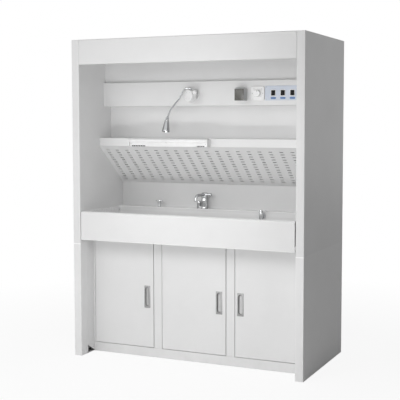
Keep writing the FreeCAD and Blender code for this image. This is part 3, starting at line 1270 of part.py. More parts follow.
def main():
    """Write every node."""
    os.makedirs("parts", exist_ok=True)
    make_side_walls()
    make_liners()
    make_header()
    make_inner_back()
    make_slotted_baffle()
    make_rear_covers()
    make_cabinet_frame()
    for door in door_limits():
        make_door(*door)
        make_handle(*door)
    make_hinge_pins()
    make_sink()
    make_drain()
    make_supply_pipes()
    make_tap()
    make_sprayer()
    make_rinse_valve()
    make_bar_lamp()
    make_task_lamp()
    make_socket()
    make_speed_control()
    make_control_panel()
    make_exhaust()


main()
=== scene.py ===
import math

import bmesh
import bpy
from mathutils import Matrix, Vector


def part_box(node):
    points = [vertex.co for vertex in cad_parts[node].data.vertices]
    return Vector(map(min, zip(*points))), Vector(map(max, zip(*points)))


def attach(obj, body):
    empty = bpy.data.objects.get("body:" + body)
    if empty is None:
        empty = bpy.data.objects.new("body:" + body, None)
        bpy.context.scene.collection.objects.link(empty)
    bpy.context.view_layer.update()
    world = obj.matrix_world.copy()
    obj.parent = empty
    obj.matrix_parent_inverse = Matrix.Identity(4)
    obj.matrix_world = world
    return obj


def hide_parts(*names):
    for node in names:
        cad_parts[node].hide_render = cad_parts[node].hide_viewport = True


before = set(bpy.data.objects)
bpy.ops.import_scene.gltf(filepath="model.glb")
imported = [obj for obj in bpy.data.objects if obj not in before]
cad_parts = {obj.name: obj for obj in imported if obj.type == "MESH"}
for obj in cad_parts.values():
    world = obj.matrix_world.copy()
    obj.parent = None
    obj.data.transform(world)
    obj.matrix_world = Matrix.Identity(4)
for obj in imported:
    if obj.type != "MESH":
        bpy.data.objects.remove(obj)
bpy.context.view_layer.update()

bl_info = {
    "name": "Grossing Workstation",
    "version": (1, 0, 0),
    "blender": (4, 5, 0),
    "location": "View3D > Sidebar > Workstation",
    "description": "Dresses a ventilated grossing workstation with its finishes and small parts",
    "category": "Object",
}

MM = 0.001
FORWARD = (0, -1, 0)
ROOT_BODY = "cabinet"

# The photograph's view: the camera's place in metres and its angles in degrees
CAMERA_PLACE = (2.35858, -5.15952, 1.45125)
CAMERA_YAW = 23.951
CAMERA_PITCH = -4.276
CAMERA_LENS = 82.395
CAMERA_SHIFT = (-0.0467, -0.0235)
CAMERA_SENSOR = 36.0
CAMERA_FAR = 100.0

# Soft lamps of the studio: name, place, aim, size and power
STUDIO_LAMPS = (
    ("key_lamp", (-2.2, -4.2, 3.2), (0.0, 0.0, 1.1), (3.2, 2.4), 42.0),
    ("low_lamp", (-0.1, -2.3, 0.12), (0.0, 0.0, 0.35), (2.0, 0.2), 11.0),
    ("chamber_lamp", (0.20, -1.4, 1.40), (-0.7, -0.1, 1.10), (0.5, 0.5), 5.2),
    ("top_lamp", (0.0, -0.8, 4.6), (0.0, 0.0, 1.0), (3.4, 2.4), 24.0),
)
WORLD_FILL = 0.43
WORLD_SHADE = 1.0
FLOOR_GLOW = 0.90
FLOOR_FADE = (1.2, 3.0)
FLOOR_HALF = 12.0
WHITE = (1.0, 1.0, 1.0, 1.0)

# Sloping exhaust panel: its top line, its run and fall, and its grid of slots
BAFFLE_TOP_Y = -0.141
BAFFLE_TOP_Z = 1.301
BAFFLE_RUN = 0.2907
BAFFLE_FALL = 0.242
BAFFLE_THICK = 0.0015
SLOT_COLUMNS = 20
SLOT_ROWS = 13
SLOT_PITCH_X = 0.069
SLOT_PITCH_Y = 0.025
SLOT_LONG = 0.026
SLOT_TALL = 0.0065
SLOT_LIP = 0.0009

# Flush cup handles
CUP_WIDE = 0.028
CUP_TALL = 0.118
CUP_WALL = 0.001
PLATE_THICK = 0.0015
PLATE_ROUND = 0.0006
PLATE_CORNER = 0.004

# Taps
TAP_X = -0.084
TAP_Y = 0.116
TAP_BLOCK_X = 0.038
SPOUT_REACH = 0.132
SPOUT_DROP = 0.034
SPRAY_X = 0.325
SPRAY_Y = 0.060
SPRAY_Z = 0.876
SPRAY_TALL = 0.054
RINSE_X = -0.408
RINSE_TALL = 0.032
RINSE_STEM = 0.041
RINSE_BAR_HALF = 0.025
TAP_HEAD_TALL = 0.034
TAP_KNOB_FLUTES = 8

# Equipment on the control band
BAND_Y = -0.085
LAMP_X = -0.054
LAMP_Z = 1.611
LAMP_ROSE_DEEP = 0.008
DRUM_STAND = 0.012
LAMP_WAY = Vector((-math.sin(math.radians(24)), -math.cos(math.radians(24)), 0.0))
KNOB_LIFT = 27.0
NECK_POINTS = (
    (8.0, -2.0, 34.0), (11.0, -4.0, 46.0), (-30.0, -17.0, 45.0), (-60.0, -32.0, -18.0),
    (-103.0, -60.0, -82.0), (-116.0, -83.0, -136.0))
NECK_RADII = (9.0, 24.0, 60.0, 40.0)
NECK_R = 0.0043
DRUM_R = 0.0375
DRUM_MIDDLE = 0.020
DRUM_VENTS = (0.25, 0.75, 1.25, 1.75)
DRUM_VENT_HALF = 0.22
LAMP_KNOB_RIBS = 18
HEAD_TILT = 14.0
HEAD_LONG = 0.072
HEAD_SHOULDER_DROP = 0.0108
LENS_R = 0.0198
LENS_INSET = 0.006
BAR_SLOTS = ((0.018, 0.096), (0.466, 0.050))
BAR_SLIT_PITCH = 0.012
BAR_LOWER_DEEP = 0.034
BAR_RIB = 0.00012
BAR_TUBE_R = 0.011
SOCKET_X = 0.259
SOCKET_WIDE = 0.061
SOCKET_LOW_Z = 1.579
SOCKET_TALL = 0.070
SOCKET_DEEP = 0.030
SOCKET_WALL = 0.003
SOCKET_LID_DEEP = 0.020
ROCKER_XS = (0.4565, 0.516, 0.5755)
PILL_Z = 1.5925
PILL_HALF = 0.017
HEIGHT = 1.950
REAR_RECESS = 0.0455
SEAM_Z = 0.705
APRON_LOW_Z = 0.727
RIM_Z = 0.902

# Screws of the rear covers and the roof
REAR_SCREW_XS = (-0.70, -0.35, 0.0, 0.35, 0.70)
UPPER_SCREW_ZS = (0.945, 1.45, 1.915)
LOWER_SCREW_ZS = (0.10, 0.45, 0.83)
ROOF_SCREWS = (
    (-0.70, -0.33), (0.0, -0.33), (0.70, -0.33), (-0.70, 0.33), (0.0, 0.33), (0.70, 0.33),
    (-0.70, 0.0), (0.70, 0.0))

# Radii of the small fittings' screws
SMALL_SCREWS = {"bar_lamp": 0.0022, "socket": 0.0026, "speed": 0.0027, "switch": 0.0028}

# Below this radius a lathed ring is one point, and closer points than this are merged
POLE_R = 1e-7
MERGE = 1e-6

# Shades of wear, dust, water spots and bare metal that the finishes share, with the painted highlight of the
# edge bands and the painted shade inside the rear covers
# Painted highlight: the bright colour of the bands along bent edges
PAINTED_HIGHLIGHT_SHADE = (0.97, 0.97, 0.97)
WORN_SHADE = (0.55, 0.56, 0.56)
DUST_SHADE = (0.42, 0.41, 0.39)
# Painted shade: near black on the inner faces of the rear covers, seen through the exhaust slots
PAINTED_CHAMBER_SHADE = (0.07, 0.07, 0.072)
SPOT_SHADE = (0.4, 0.41, 0.42)

# Nodes of the frame by their finish
FINISH_NODES = {
    "powder_white": (
        "upper_sides", "chamber_liners", "cabinet_liners", "header_fascia", "roof_panel",
        "inner_back_panels", "control_band", "baffle_lip", "slotted_baffle", "lower_back_panel",
        "cabinet_floor", "filter_shelf",
    ),
    "rear_coat": ("rear_covers",),
    "lower_coat": ("lower_sides",),
    "apron_coat": ("front_apron",),
    "door_coat": ("frame_rails", "frame_uprights", "door_left", "door_middle", "door_right"),
    "steel_sink": ("basin", "drain_flange", "drain_basket"),
    "pipe_plastic": ("waste_line",),
    "steel_pin": ("supply_pipes", "hinge_pins"),
    "grey_plastic": ("socket_box", "socket_lid"),
    "diffuser": ("bar_lamp_tube",),
    "white_plastic": (
        "bar_lamp_body", "lamp_mount", "socket_insert", "speed_plate", "switch_bodies", "lamp_drum",
        "lamp_knob", "speed_knob",
    ),
    "panel_blue": ("control_plate",),
    "chrome": (
        "tap_body", "sprayer_body", "gooseneck", "lamp_head", "tap_spout", "tap_lever", "sprayer_lever",
        "rinse_valve_body", "rinse_valve_bar",
    ),
    "zinc": ("fan_housing", "exhaust_spigot"),
    "fan_plastic": ("fan_motor", "power_gland", "fan_impeller"),
    "filter_media": ("filter_cassette",),
    "steel_handle": ("handle_left", "handle_middle", "handle_right"),
    "lens": ("lamp_lens",),
    "black_plastic": ("rocker_left", "rocker_middle", "rocker_right"),
}
NODE_FINISH = {node: slot for slot, nodes in FINISH_NODES.items() for node in nodes}


def node_box(name):
    """Lowest and highest corner of a CAD node."""
    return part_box(name)


def new_object(name, mesh, smooth_angle=None):
    """Link a mesh as an object, and round its shading below an angle in degrees."""
    piece = bpy.data.objects.new(name, mesh)
    bpy.context.scene.collection.objects.link(piece)
    if smooth_angle is not None:
        for polygon in mesh.polygons:
            polygon.use_smooth = True
        mesh.set_sharp_from_angle(angle=math.radians(smooth_angle))
    return piece


def from_bmesh(name, shape, smooth_angle=35, outwards=True):
    """Turn a bmesh into an object, with its faces turned outwards unless they already are."""
    if outwards:
        bmesh.ops.recalc_face_normals(shape, faces=shape.faces)
    mesh = bpy.data.meshes.new(name)
    shape.to_mesh(mesh)
    shape.free()
    return new_object(name, mesh, smooth_angle)


def turns(steps):
    """The angles of one full turn in equal steps."""
    return [2 * math.pi * index / steps for index in range(steps)]


def fluted_loops(rows, steps, dip, at):
    """Rings of a grip, from rows of radius, height and share of a dip that depends on the angle."""
    loops = []
    for radius, height, share in rows:
        loop = []
        for angle in turns(steps):
            reach = radius - dip(angle) * share
            loop.append(at(reach * math.cos(angle), reach * math.sin(angle), height))
        loops.append(loop)
    return loops


def axis_turn(axis):
    """Rotation that carries +Z to an axis."""
    return Vector((0, 0, 1)).rotation_difference(Vector(axis)).to_matrix().to_4x4()


def add_lathe(shape, profile, centre, axis=(0, 0, 1), steps=48):
    """Add a solid of revolution, from points of radius and height, to a bmesh."""
    seat = Matrix.Translation(Vector(centre)) @ axis_turn(axis)
    rings = []
    for radius, height in profile:
        if radius < POLE_R:
            rings.append([shape.verts.new(seat @ Vector((0, 0, height)))])
        else:
            rings.append([
                shape.verts.new(seat @ Vector((radius * math.cos(angle), radius * math.sin(angle), height)))
                for angle in turns(steps)])
    for low, high in zip(rings, rings[1:]):
        for index in range(steps):
            ahead = (index + 1) % steps
            if len(low) == 1 and len(high) == 1:
                continue
            if len(low) == 1:
                shape.faces.new((low[0], high[index], high[ahead]))
            elif len(high) == 1:
                shape.faces.new((low[index], low[ahead], high[0]))
            else:
                shape.faces.new((low[index], low[ahead], high[ahead], high[index]))


def add_box(shape, low, high, bevel, segments=2):
    """Add a box with softened edges to a bmesh."""
    verts = bmesh.ops.create_cube(shape, size=1.0)["verts"]
    bmesh.ops.scale(shape, vec=Vector(high) - Vector(low), verts=verts)
    bmesh.ops.translate(shape, vec=(Vector(low) + Vector(high)) / 2, verts=verts)
    edges = list({edge for vert in verts for edge in vert.link_edges})
    bmesh.ops.bevel(shape, geom=edges, offset=bevel, segments=segments, affect="EDGES", profile=0.5)


def stack_loops(shape, loops, close_ends=False):
    """Join rings of points that have the same count, and close both ends where asked."""
    rings = [[shape.verts.new(point) for point in loop] for loop in loops]
    count = len(rings[0])
    for low, high in zip(rings, rings[1:]):
        for index in range(count):
            ahead = (index + 1) % count
            shape.faces.new((low[index], low[ahead], high[ahead], high[index]))
    if close_ends:
        shape.faces.new(rings[0][::-1])
        shape.faces.new(rings[-1])
    return rings


def stadium_points(half_wide, half_tall, steps):
    """Outline of an oblong with round ends, longer in its second direction, anticlockwise."""
    points = []
    straight = half_tall - half_wide
    for end, start in ((1, 0.0), (-1, math.pi)):
        for index in range(steps + 1):
            angle = start + math.pi * index / steps
            points.append((half_wide * math.cos(angle), end * straight + half_wide * math.sin(angle)))
    return points


def tube_along(name, points, radius_at, steps=20, smooth_angle=40):
    """A closed round tube along points, whose radius comes from a function of the length so far."""
    loops = []
    length = 0.0
    side = None
    for index, point in enumerate(points):
        before = points[max(index - 1, 0)]
        after = points[min(index + 1, len(points) - 1)]
        along = (after - before).normalized()
        if index:
            length += (point - points[index - 1]).length
        if side is None:
            side = along.orthogonal().normalized()
        side = (side - along * side.dot(along)).normalized()
        other = along.cross(side)
        radius = radius_at(length)
        loops.append([
            point + (side * math.cos(angle) + other * math.sin(angle)) * radius for angle in turns(steps)])
    shape = bmesh.new()
    stack_loops(shape, loops, True)
    return from_bmesh(name, shape, smooth_angle)


def smooth_path(points, steps=10):
    """Points along a smooth curve through the given ones."""
    ends = [points[0] * 2 - points[1]] + list(points) + [points[-1] * 2 - points[-2]]
    path = []
    for a, b, c, d in zip(ends, ends[1:], ends[2:], ends[3:]):
        for step in range(steps):
            t = step / steps
            even = b * 2 + (c - a) * t
            bend = (a * 2 - b * 5 + c * 4 - d) * t * t + (b * 3 - a - c * 3 + d) * t * t * t
            path.append((even + bend) / 2)
    path.append(points[-1])
    return path


def bent_path(points, radii, steps=10):
    """Points along straight runs that are joined by round bends."""
    path = [points[0]]
    for before, corner, after, radius in zip(points, points[1:], points[2:], radii):
        run_in = (corner - before).normalized()
        run_out = (after - corner).normalized()
        turn = run_in.angle(run_out)
        start = corner - run_in * radius * math.tan(turn / 2)
        centre = corner + (run_out - run_in).normalized() * radius / math.cos(turn / 2)
        axis = run_in.cross(run_out)
        for step in range(steps + 1):
            path.append(centre + Matrix.Rotation(turn * step / steps, 3, axis) @ (start - centre))
    path.append(points[-1])
    return path


def paint(piece, material):
    """Give a piece its one material."""
    piece.data.materials.clear()
    piece.data.materials.append(material)
    return piece


def place(piece, body, material, replaced=()):
    """Dress a piece, ride it on its body, and hide the nodes it stands for."""
    paint(piece, material)
    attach(piece, body)
    if replaced:
        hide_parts(*replaced)
    return piece


def put(name, shape, smooth_angle, body, slot, *replaced, look=None):
    """Turn a bmesh into a piece, and place it with the finish of its slot or with another look."""
    return place(from_bmesh(name, shape, smooth_angle), body, finish(look or slot), replaced)


def put_loops(name, loops, smooth_angle, body, slot, *replaced, look=None):
    """Join rings of points into a closed shell, and place it as a piece."""
    shape = bmesh.new()
    stack_loops(shape, loops, True)
    put(name, shape, smooth_angle, body, slot, *replaced, look=look)


class Weaver:
    """Short hand for adding and linking the nodes of one tree."""

    def __init__(self, tree):
        self.tree = tree

    def set(self, socket, value):
        """Link another socket to an input, or give the input a value."""
        if isinstance(value, bpy.types.NodeSocket):
            self.tree.links.new(value, socket)
        else:
            socket.default_value = value

    def feed(self, node, **values):
        """Link or set the inputs of a node by name."""
        for key, value in values.items():
            self.set(node.inputs[key.replace("_", " ")], value)

    def add(self, kind, **values):
        """Add a node, and give its properties and its inputs their values by name."""
        node = self.tree.nodes.new(kind)
        for key, value in values.items():
            if key in node.bl_rna.properties:
                setattr(node, key, value)
            else:
                self.feed(node, **{key: value})
        return node

    def math(self, operation, *values, clamp=False):
        """A Math node on values or sockets."""
        node = self.add("ShaderNodeMath", operation=operation, use_clamp=clamp)
        for socket, value in zip(node.inputs, values):
            self.set(socket, value)
        return node.outputs[0]

    def vector(self, operation, *values):
        """A Vector Math node on vectors or sockets."""
        node = self.add("ShaderNodeVectorMath", operation=operation)
        for socket, value in zip(node.inputs, values):
            self.set(socket, value)
        return node.outputs

    def coords(self, kind="Object"):
        """A coordinate of the shaded point."""
        return self.add("ShaderNodeTexCoord").outputs[kind]

    def parts(self, vector):
        """The X, Y and Z of a vector."""
        return self.add("ShaderNodeSeparateXYZ", Vector=vector).outputs

    def span(self, value, low, high, to_low=0.0, to_high=1.0):
        """A clamped Map Range node."""
        return self.add(
            "ShaderNodeMapRange", Value=value, From_Min=low, From_Max=high, To_Min=to_low,
            To_Max=to_high).outputs["Result"]

    def blend(self, mask, first, second):
        """A colour mix of two colours or sockets by a mask."""
        node = self.add("ShaderNodeMix", data_type="RGBA", Factor=mask)
        for label, value in (("A", first), ("B", second)):
            socket = next(item for item in node.inputs if item.name == label and item.type == "RGBA")
            self.set(socket, (*value[:3], 1.0) if isinstance(value, tuple) else value)
        return next(item for item in node.outputs if item.type == "RGBA")

    def tint(self, base, mask, share, colour):
        """A base with a share of a colour over it, where a mask says so."""
        return self.blend(self.math("MULTIPLY", mask, share), base, colour)

    def noise(self, vector, scale, detail=2.0, roughness=0.5):
        """A noise value between 0 and 1."""
        node = self.add("ShaderNodeTexNoise", Vector=vector, Scale=scale, Detail=detail, Roughness=roughness)
        return node.outputs["Fac"]


def effect_group(name, inputs, outputs):
    """A shader node group with its inputs and their values, and its named outputs."""
    group = bpy.data.node_groups.new(name, "ShaderNodeTree")
    for label, default in inputs.items():
        kind = "NodeSocketVector" if isinstance(default, tuple) else "NodeSocketFloat"
        group.interface.new_socket(name=label, in_out="INPUT", socket_type=kind).default_value = default
    for label in outputs:
        kind = "NodeSocketVector" if label == "Normal" else "NodeSocketFloat"
        group.interface.new_socket(name=label, in_out="OUTPUT", socket_type=kind)
    weaver = Weaver(group)
    return group, weaver, weaver.add("NodeGroupInput").outputs, weaver.add("NodeGroupOutput")


def build_coat_texture():
    """Orange-peel skin of a sprayed or moulded surface, with slow changes of tone and gloss."""
    group, w, start, end = effect_group(
        "Coat texture", {"Peel size": 1400.0, "Mottle size": 2.2}, ("Height", "Gloss", "Tone"))
    at = w.coords()
    slow = w.noise(at, start["Mottle size"], 4.0, 0.6)
    gloss = w.math("MULTIPLY_ADD", w.noise(at, 60.0, 3.0), 0.5, w.math("MULTIPLY", slow, 0.5))
    w.feed(end, Height=w.noise(at, start["Peel size"], 2.0, 0.55), Gloss=gloss, Tone=slow)
    return group


def build_brushed_lines():
    """Fine parallel brush lines, stretched along one axis."""
    group, w, start, end = effect_group(
        "Brushed lines", {"Stretch": (3.0, 900.0, 900.0)}, ("Height", "Gloss", "Tone"))
    fine = w.vector("MULTIPLY", w.coords(), start["Stretch"])[0]
    lines = w.noise(fine, 1.0, 3.0, 0.6)
    streaks = w.noise(w.vector("MULTIPLY", fine, (0.35, 0.09, 0.09))[0], 1.0)
    gloss = w.math("MULTIPLY_ADD", lines, 0.6, w.math("MULTIPLY", streaks, 0.4))
    w.feed(end, Height=lines, Gloss=gloss, Tone=streaks)
    return group


def build_use_marks():
    """Sparse rubbed patches and fine scratches."""
    group, w, start, end = effect_group("Use marks", {"Scratch size": 38.0}, ("Scratch", "Rub"))
    at = w.coords()
    bent = w.add("ShaderNodeTexNoise", Vector=at, Scale=5.0, Detail=2.0).outputs["Color"]
    mixed = w.vector("MULTIPLY_ADD", bent, (0.6, 0.6, 0.6), at)[0]
    cells = w.add(
        "ShaderNodeTexVoronoi", feature="DISTANCE_TO_EDGE", Vector=mixed, Scale=start["Scratch size"])
    thin = w.span(cells.outputs["Distance"], 0.0, 0.012, 1.0, 0.0)
    sparse = w.span(w.noise(at, 9.0), 0.56, 0.66)
    rub = w.span(w.noise(at, 3.5, 5.0, 0.65), 0.5, 0.75)
    w.feed(end, Scratch=w.math("MULTIPLY", thin, sparse), Rub=rub)
    return group


def build_floor_dust():
    """Grey dust that thins out upwards from the floor."""
    group, w, start, end = effect_group("Floor dust", {"Reach": 0.16}, ("Mask",))
    at = w.coords()
    low = w.math("SUBTRACT", 1.0, w.math("DIVIDE", w.parts(at)["Z"], start["Reach"]), clamp=True)
    patchy = w.span(w.noise(at, 24.0, 4.0), 0.3, 0.7)
    w.feed(end, Mask=w.math("MULTIPLY", w.math("POWER", low, 2.0), patchy))
    return group


def build_soft_edges():
    """A rounded-edge normal, and a mask of the edges where a coat wears."""
    group, w, start, end = effect_group("Soft edges", {"Radius": 0.0012}, ("Normal", "Wear"))
    rounded = w.add("ShaderNodeBevel", samples=4, Radius=start["Radius"]).outputs["Normal"]
    flat = w.add("ShaderNodeNewGeometry").outputs["Normal"]
    edge = w.span(w.vector("DOT_PRODUCT", rounded, flat)["Value"], 0.80, 0.985, 1.0, 0.0)
    broken = w.span(w.noise(w.coords(), 160.0, 4.0), 0.52, 0.68)
    w.feed(end, Normal=rounded, Wear=w.math("MULTIPLY", edge, broken))
    return group


def build_edge_band():
    """A painted highlight: a level band of a bent edge, on faces turned to the front, where the coat catches
    the light.
    """
    group, w, start, end = effect_group("Edge band", {"Middle": SEAM_Z, "Half": 0.003}, ("Mask",))
    away = w.math("ABSOLUTE", w.math("SUBTRACT", w.parts(w.coords())["Z"], start["Middle"]))
    near = w.math("SUBTRACT", 1.0, w.math("DIVIDE", away, start["Half"]), clamp=True)
    lit = w.math("MULTIPLY", near, 2.5, clamp=True)
    forward = w.span(w.parts(w.coords("Normal"))["Y"], -0.6, -0.2, 1.0, 0.0)
    w.feed(end, Mask=w.math("MULTIPLY", lit, forward))
    return group


EFFECT_BUILDERS = {
    "Coat texture": build_coat_texture,
    "Brushed lines": build_brushed_lines,
    "Use marks": build_use_marks,
    "Floor dust": build_floor_dust,
    "Soft edges": build_soft_edges,
    "Edge band": build_edge_band,
}
EFFECTS = {}


def effect(weaver, name, **values):
    """Place one of the shared effect groups in a material."""
    if name not in EFFECTS:
        EFFECTS[name] = EFFECT_BUILDERS[name]()
    node = weaver.add("ShaderNodeGroup", node_tree=EFFECTS[name])
    weaver.feed(node, **values)
    return node.outputs


def shaded(colour, factor):
    """A colour made darker or lighter by a factor."""
    return tuple(part * factor for part in colour[:3])


def new_material(name, colour, metallic, roughness):
    """A material with its Principled BSDF, and a weaver for its tree."""
    material = bpy.data.materials.new(name)
    material.use_nodes = True
    material.diffuse_color = (*colour[:3], 1.0)
    weaver = Weaver(material.node_tree)
    shader = material.node_tree.nodes["Principled BSDF"]
    weaver.feed(shader, Base_Color=(*colour[:3], 1.0), Metallic=metallic, Roughness=roughness)
    return material, weaver, shader


def bumped(w, shader, height, strength, distance, normal=None):
    """Feed a height to the shader's normal, over a rounded-edge normal where there is one."""
    bump = w.add("ShaderNodeBump", Strength=strength, Distance=distance, Height=height)
    if normal is not None:
        w.feed(bump, Normal=normal)
    w.feed(shader, Normal=bump.outputs["Normal"])


def with_painted_highlights(w, base, bands):
    """The colour with a painted highlight, a bright level band, at each bent edge."""
    for middle, half in bands:
        base = w.blend(effect(w, "Edge band", Middle=middle, Half=half)["Mask"], base, PAINTED_HIGHLIGHT_SHADE)
    return base


def coat_material(
        name, colour, roughness=0.42, edge=0.0012, dust=True, peel=0.25, bands=(), painted_inner_shade=False):
    """Sprayed coat on sheet metal: orange peel, slow tone changes, rubs, worn edges and dust low down, with
    painted highlight bands and painted shade on inner faces where asked.
    """
    material, w, shader = new_material(name, colour, 0.0, roughness)
    skin = effect(w, "Coat texture")
    marks = effect(w, "Use marks")
    edges = effect(w, "Soft edges", Radius=edge)
    base = w.blend(w.span(skin["Tone"], 0.35, 0.68), shaded(colour, 0.955), colour)
    base = w.tint(base, marks["Rub"], 0.16, shaded(colour, 0.93))
    base = w.tint(base, marks["Scratch"], 0.22, shaded(colour, 0.8))
    base = w.tint(base, edges["Wear"], 0.45, WORN_SHADE)
    if dust:
        base = w.tint(base, effect(w, "Floor dust")["Mask"], 0.12, DUST_SHADE)
    # Painted shade: inner faces of the rear covers above the ledge, turned to the front, go near black for
    # the shade behind the exhaust slots
    if painted_inner_shade:
        inward = w.span(w.parts(w.coords("Normal"))["Y"], -0.5, 0.5, 1.0, 0.0)
        high = w.span(w.parts(w.coords())["Z"], 0.90, 0.93)
        base = w.blend(w.math("MULTIPLY", inward, high), base, PAINTED_CHAMBER_SHADE)
    gloss = w.span(skin["Gloss"], 0.3, 0.7, roughness - 0.07, roughness + 0.08)
    rough = w.math("ADD", gloss, w.math("MULTIPLY", marks["Rub"], 0.08))
    # Painted highlight bands along the bent edges that are asked for
    w.feed(shader, Base_Color=with_painted_highlights(w, base, bands), Roughness=rough)
    w.feed(shader, Coat_Roughness=0.22, Coat_Weight=0.12)
    bumped(w, shader, skin["Height"], peel, 0.0002, edges["Normal"])
    return material


def steel_material(name, colour, roughness, stretch=(3.0, 900.0, 900.0), edge=0.0008, metallic=1.0, bands=()):
    """Brushed stainless steel with lines, streaks, rubs and scratches."""
    material, w, shader = new_material(name, colour, metallic, roughness)
    lines = effect(w, "Brushed lines", Stretch=stretch)
    marks = effect(w, "Use marks", Scratch_size=55.0)
    edges = effect(w, "Soft edges", Radius=edge)
    base = w.blend(w.span(lines["Tone"], 0.3, 0.7), shaded(colour, 0.86), colour)
    base = w.tint(base, marks["Rub"], 0.2, shaded(colour, 0.82))
    gloss = w.span(lines["Gloss"], 0.25, 0.75, roughness - 0.06, roughness + 0.1)
    rough = w.math("ADD", gloss, w.math("MULTIPLY", marks["Scratch"], 0.15))
    # Painted highlight bands along the edges that are asked for
    w.feed(shader, Base_Color=with_painted_highlights(w, base, bands), Roughness=rough)
    bumped(w, shader, lines["Height"], 0.2, 0.00008, edges["Normal"])
    return material


def chrome_material(name, face, rim):
    """Polished chrome with a painted dark reflection towards its edges, and faint wiping marks and water
    spots.
    """
    material, w, shader = new_material(name, face, 1.0, 0.06)
    marks = effect(w, "Use marks", Scratch_size=120.0)
    edges = effect(w, "Soft edges", Radius=0.0004)
    at = w.coords()
    spots = w.add("ShaderNodeTexVoronoi", Vector=at, Scale=260.0).outputs["Distance"]
    spot = w.math("MULTIPLY", w.span(spots, 0.05, 0.16, 1.0, 0.0), w.span(w.noise(at, 40.0), 0.55, 0.65))
    # Painted reflection: the colour darkens from the face colour to the rim colour where the surface turns
    # away from the view
    facing = w.add("ShaderNodeLayerWeight", Blend=0.4).outputs["Facing"]
    base = w.blend(w.span(facing, 0.15, 0.70), face, rim)
    rough = w.math("MULTIPLY_ADD", marks["Rub"], 0.07, w.math("MULTIPLY_ADD", spot, 0.18, 0.045))
    w.feed(shader, Base_Color=w.tint(base, spot, 0.25, SPOT_SHADE), Roughness=rough, Normal=edges["Normal"])
    return material


def plastic_material(name, colour, roughness=0.35, peel=0.12, shine=0.5):
    """Moulded plastic: fine skin, faint tone changes, fingerprints in the gloss, scuffed edges."""
    material, w, shader = new_material(name, colour, 0.0, roughness)
    skin = effect(w, "Coat texture", Peel_size=2600.0, Mottle_size=14.0)
    marks = effect(w, "Use marks", Scratch_size=140.0)
    edges = effect(w, "Soft edges", Radius=0.0006)
    base = w.blend(w.span(skin["Tone"], 0.35, 0.65), shaded(colour, 0.93), colour)
    base = w.tint(base, edges["Wear"], 0.35, tuple(min(1.0, part + 0.08) for part in colour[:3]))
    gloss = w.span(skin["Gloss"], 0.3, 0.7, roughness - 0.05, roughness + 0.06)
    rough = w.math("MULTIPLY_ADD", marks["Rub"], 0.12, gloss)
    w.feed(shader, Base_Color=base, Roughness=rough, Specular_IOR_Level=shine)
    bumped(w, shader, skin["Height"], peel, 0.0001, edges["Normal"])
    return material


def clear_material(name, colour, roughness, alpha):
    """Clear or smoked plastic with a faint haze and wiping marks."""
    material, w, shader = new_material(name, colour, 0.0, roughness)
    marks = effect(w, "Use marks", Scratch_size=140.0)
    skin = effect(w, "Coat texture", Peel_size=1200.0, Mottle_size=16.0)
    base = w.blend(w.span(skin["Tone"], 0.3, 0.7), shaded(colour, 0.85), colour)
    rough = w.math("MULTIPLY_ADD", marks["Rub"], 0.15, roughness)
    haze = w.math("MULTIPLY_ADD", marks["Rub"], 0.08, alpha, clamp=True)
    w.feed(shader, Base_Color=base, Roughness=rough, Alpha=haze)
    bumped(w, shader, skin["Height"], 0.05, 0.0001)
    return material


def cast_material(name, colour, metallic, roughness, size=420.0, depth=0.35):
    """Spangled zinc or fibre: cells of tone and a grainy skin."""
    material, w, shader = new_material(name, colour, metallic, roughness)
    at = w.coords()
    cells = w.add("ShaderNodeTexVoronoi", Vector=at, Scale=size / 6).outputs["Distance"]
    edges = effect(w, "Soft edges", Radius=0.0006)
    tone = w.math("MULTIPLY_ADD", w.noise(at, size, 3.0), 0.5, w.math("MULTIPLY", cells, 0.5))
    base = w.blend(w.span(tone, 0.2, 0.7), shaded(colour, 0.78), colour)
    w.feed(shader, Base_Color=base, Roughness=w.span(tone, 0.2, 0.7, roughness + 0.08, roughness - 0.08))
    bumped(w, shader, tone, depth, 0.0003, edges["Normal"])
    return material


TINT = {"subtype": "COLOR", "size": 3, "min": 0.0, "max": 1.0}
LENGTH = {"unit": "LENGTH", "precision": 4}


class FinishColours(bpy.types.PropertyGroup):
    """Colours of the sheet metal, plates and trim."""

    coat: bpy.props.FloatVectorProperty(
        name="Powder coat", description="Sprayed coat of the carcass and the inner back",
        default=(0.80, 0.80, 0.80), **TINT)
    doors: bpy.props.FloatVectorProperty(
        name="Doors", description="Sprayed coat of the doors and their frame",
        default=(0.79, 0.79, 0.79), **TINT)
    steel: bpy.props.FloatVectorProperty(
        name="Sink steel", description="Stainless steel of the basin", default=(0.90, 0.90, 0.90), **TINT)
    plate: bpy.props.FloatVectorProperty(
        name="Switch panel", description="Pale blue of the switch panel", default=(0.62, 0.67, 0.76), **TINT)
    pill: bpy.props.FloatVectorProperty(
        name="Label fields", description="Blue of the blank label fields under the switches",
        default=(0.11, 0.22, 0.45), **TINT)
    plastic: bpy.props.FloatVectorProperty(
        name="White plastic", description="Moulded plastic of the lamp drum, the knobs and the wall plates",
        default=(0.92, 0.92, 0.92), **TINT)
    floor: bpy.props.FloatVectorProperty(
        name="Floor", description="Plain floor that the workstation stands on",
        default=(0.88, 0.88, 0.88), **TINT)


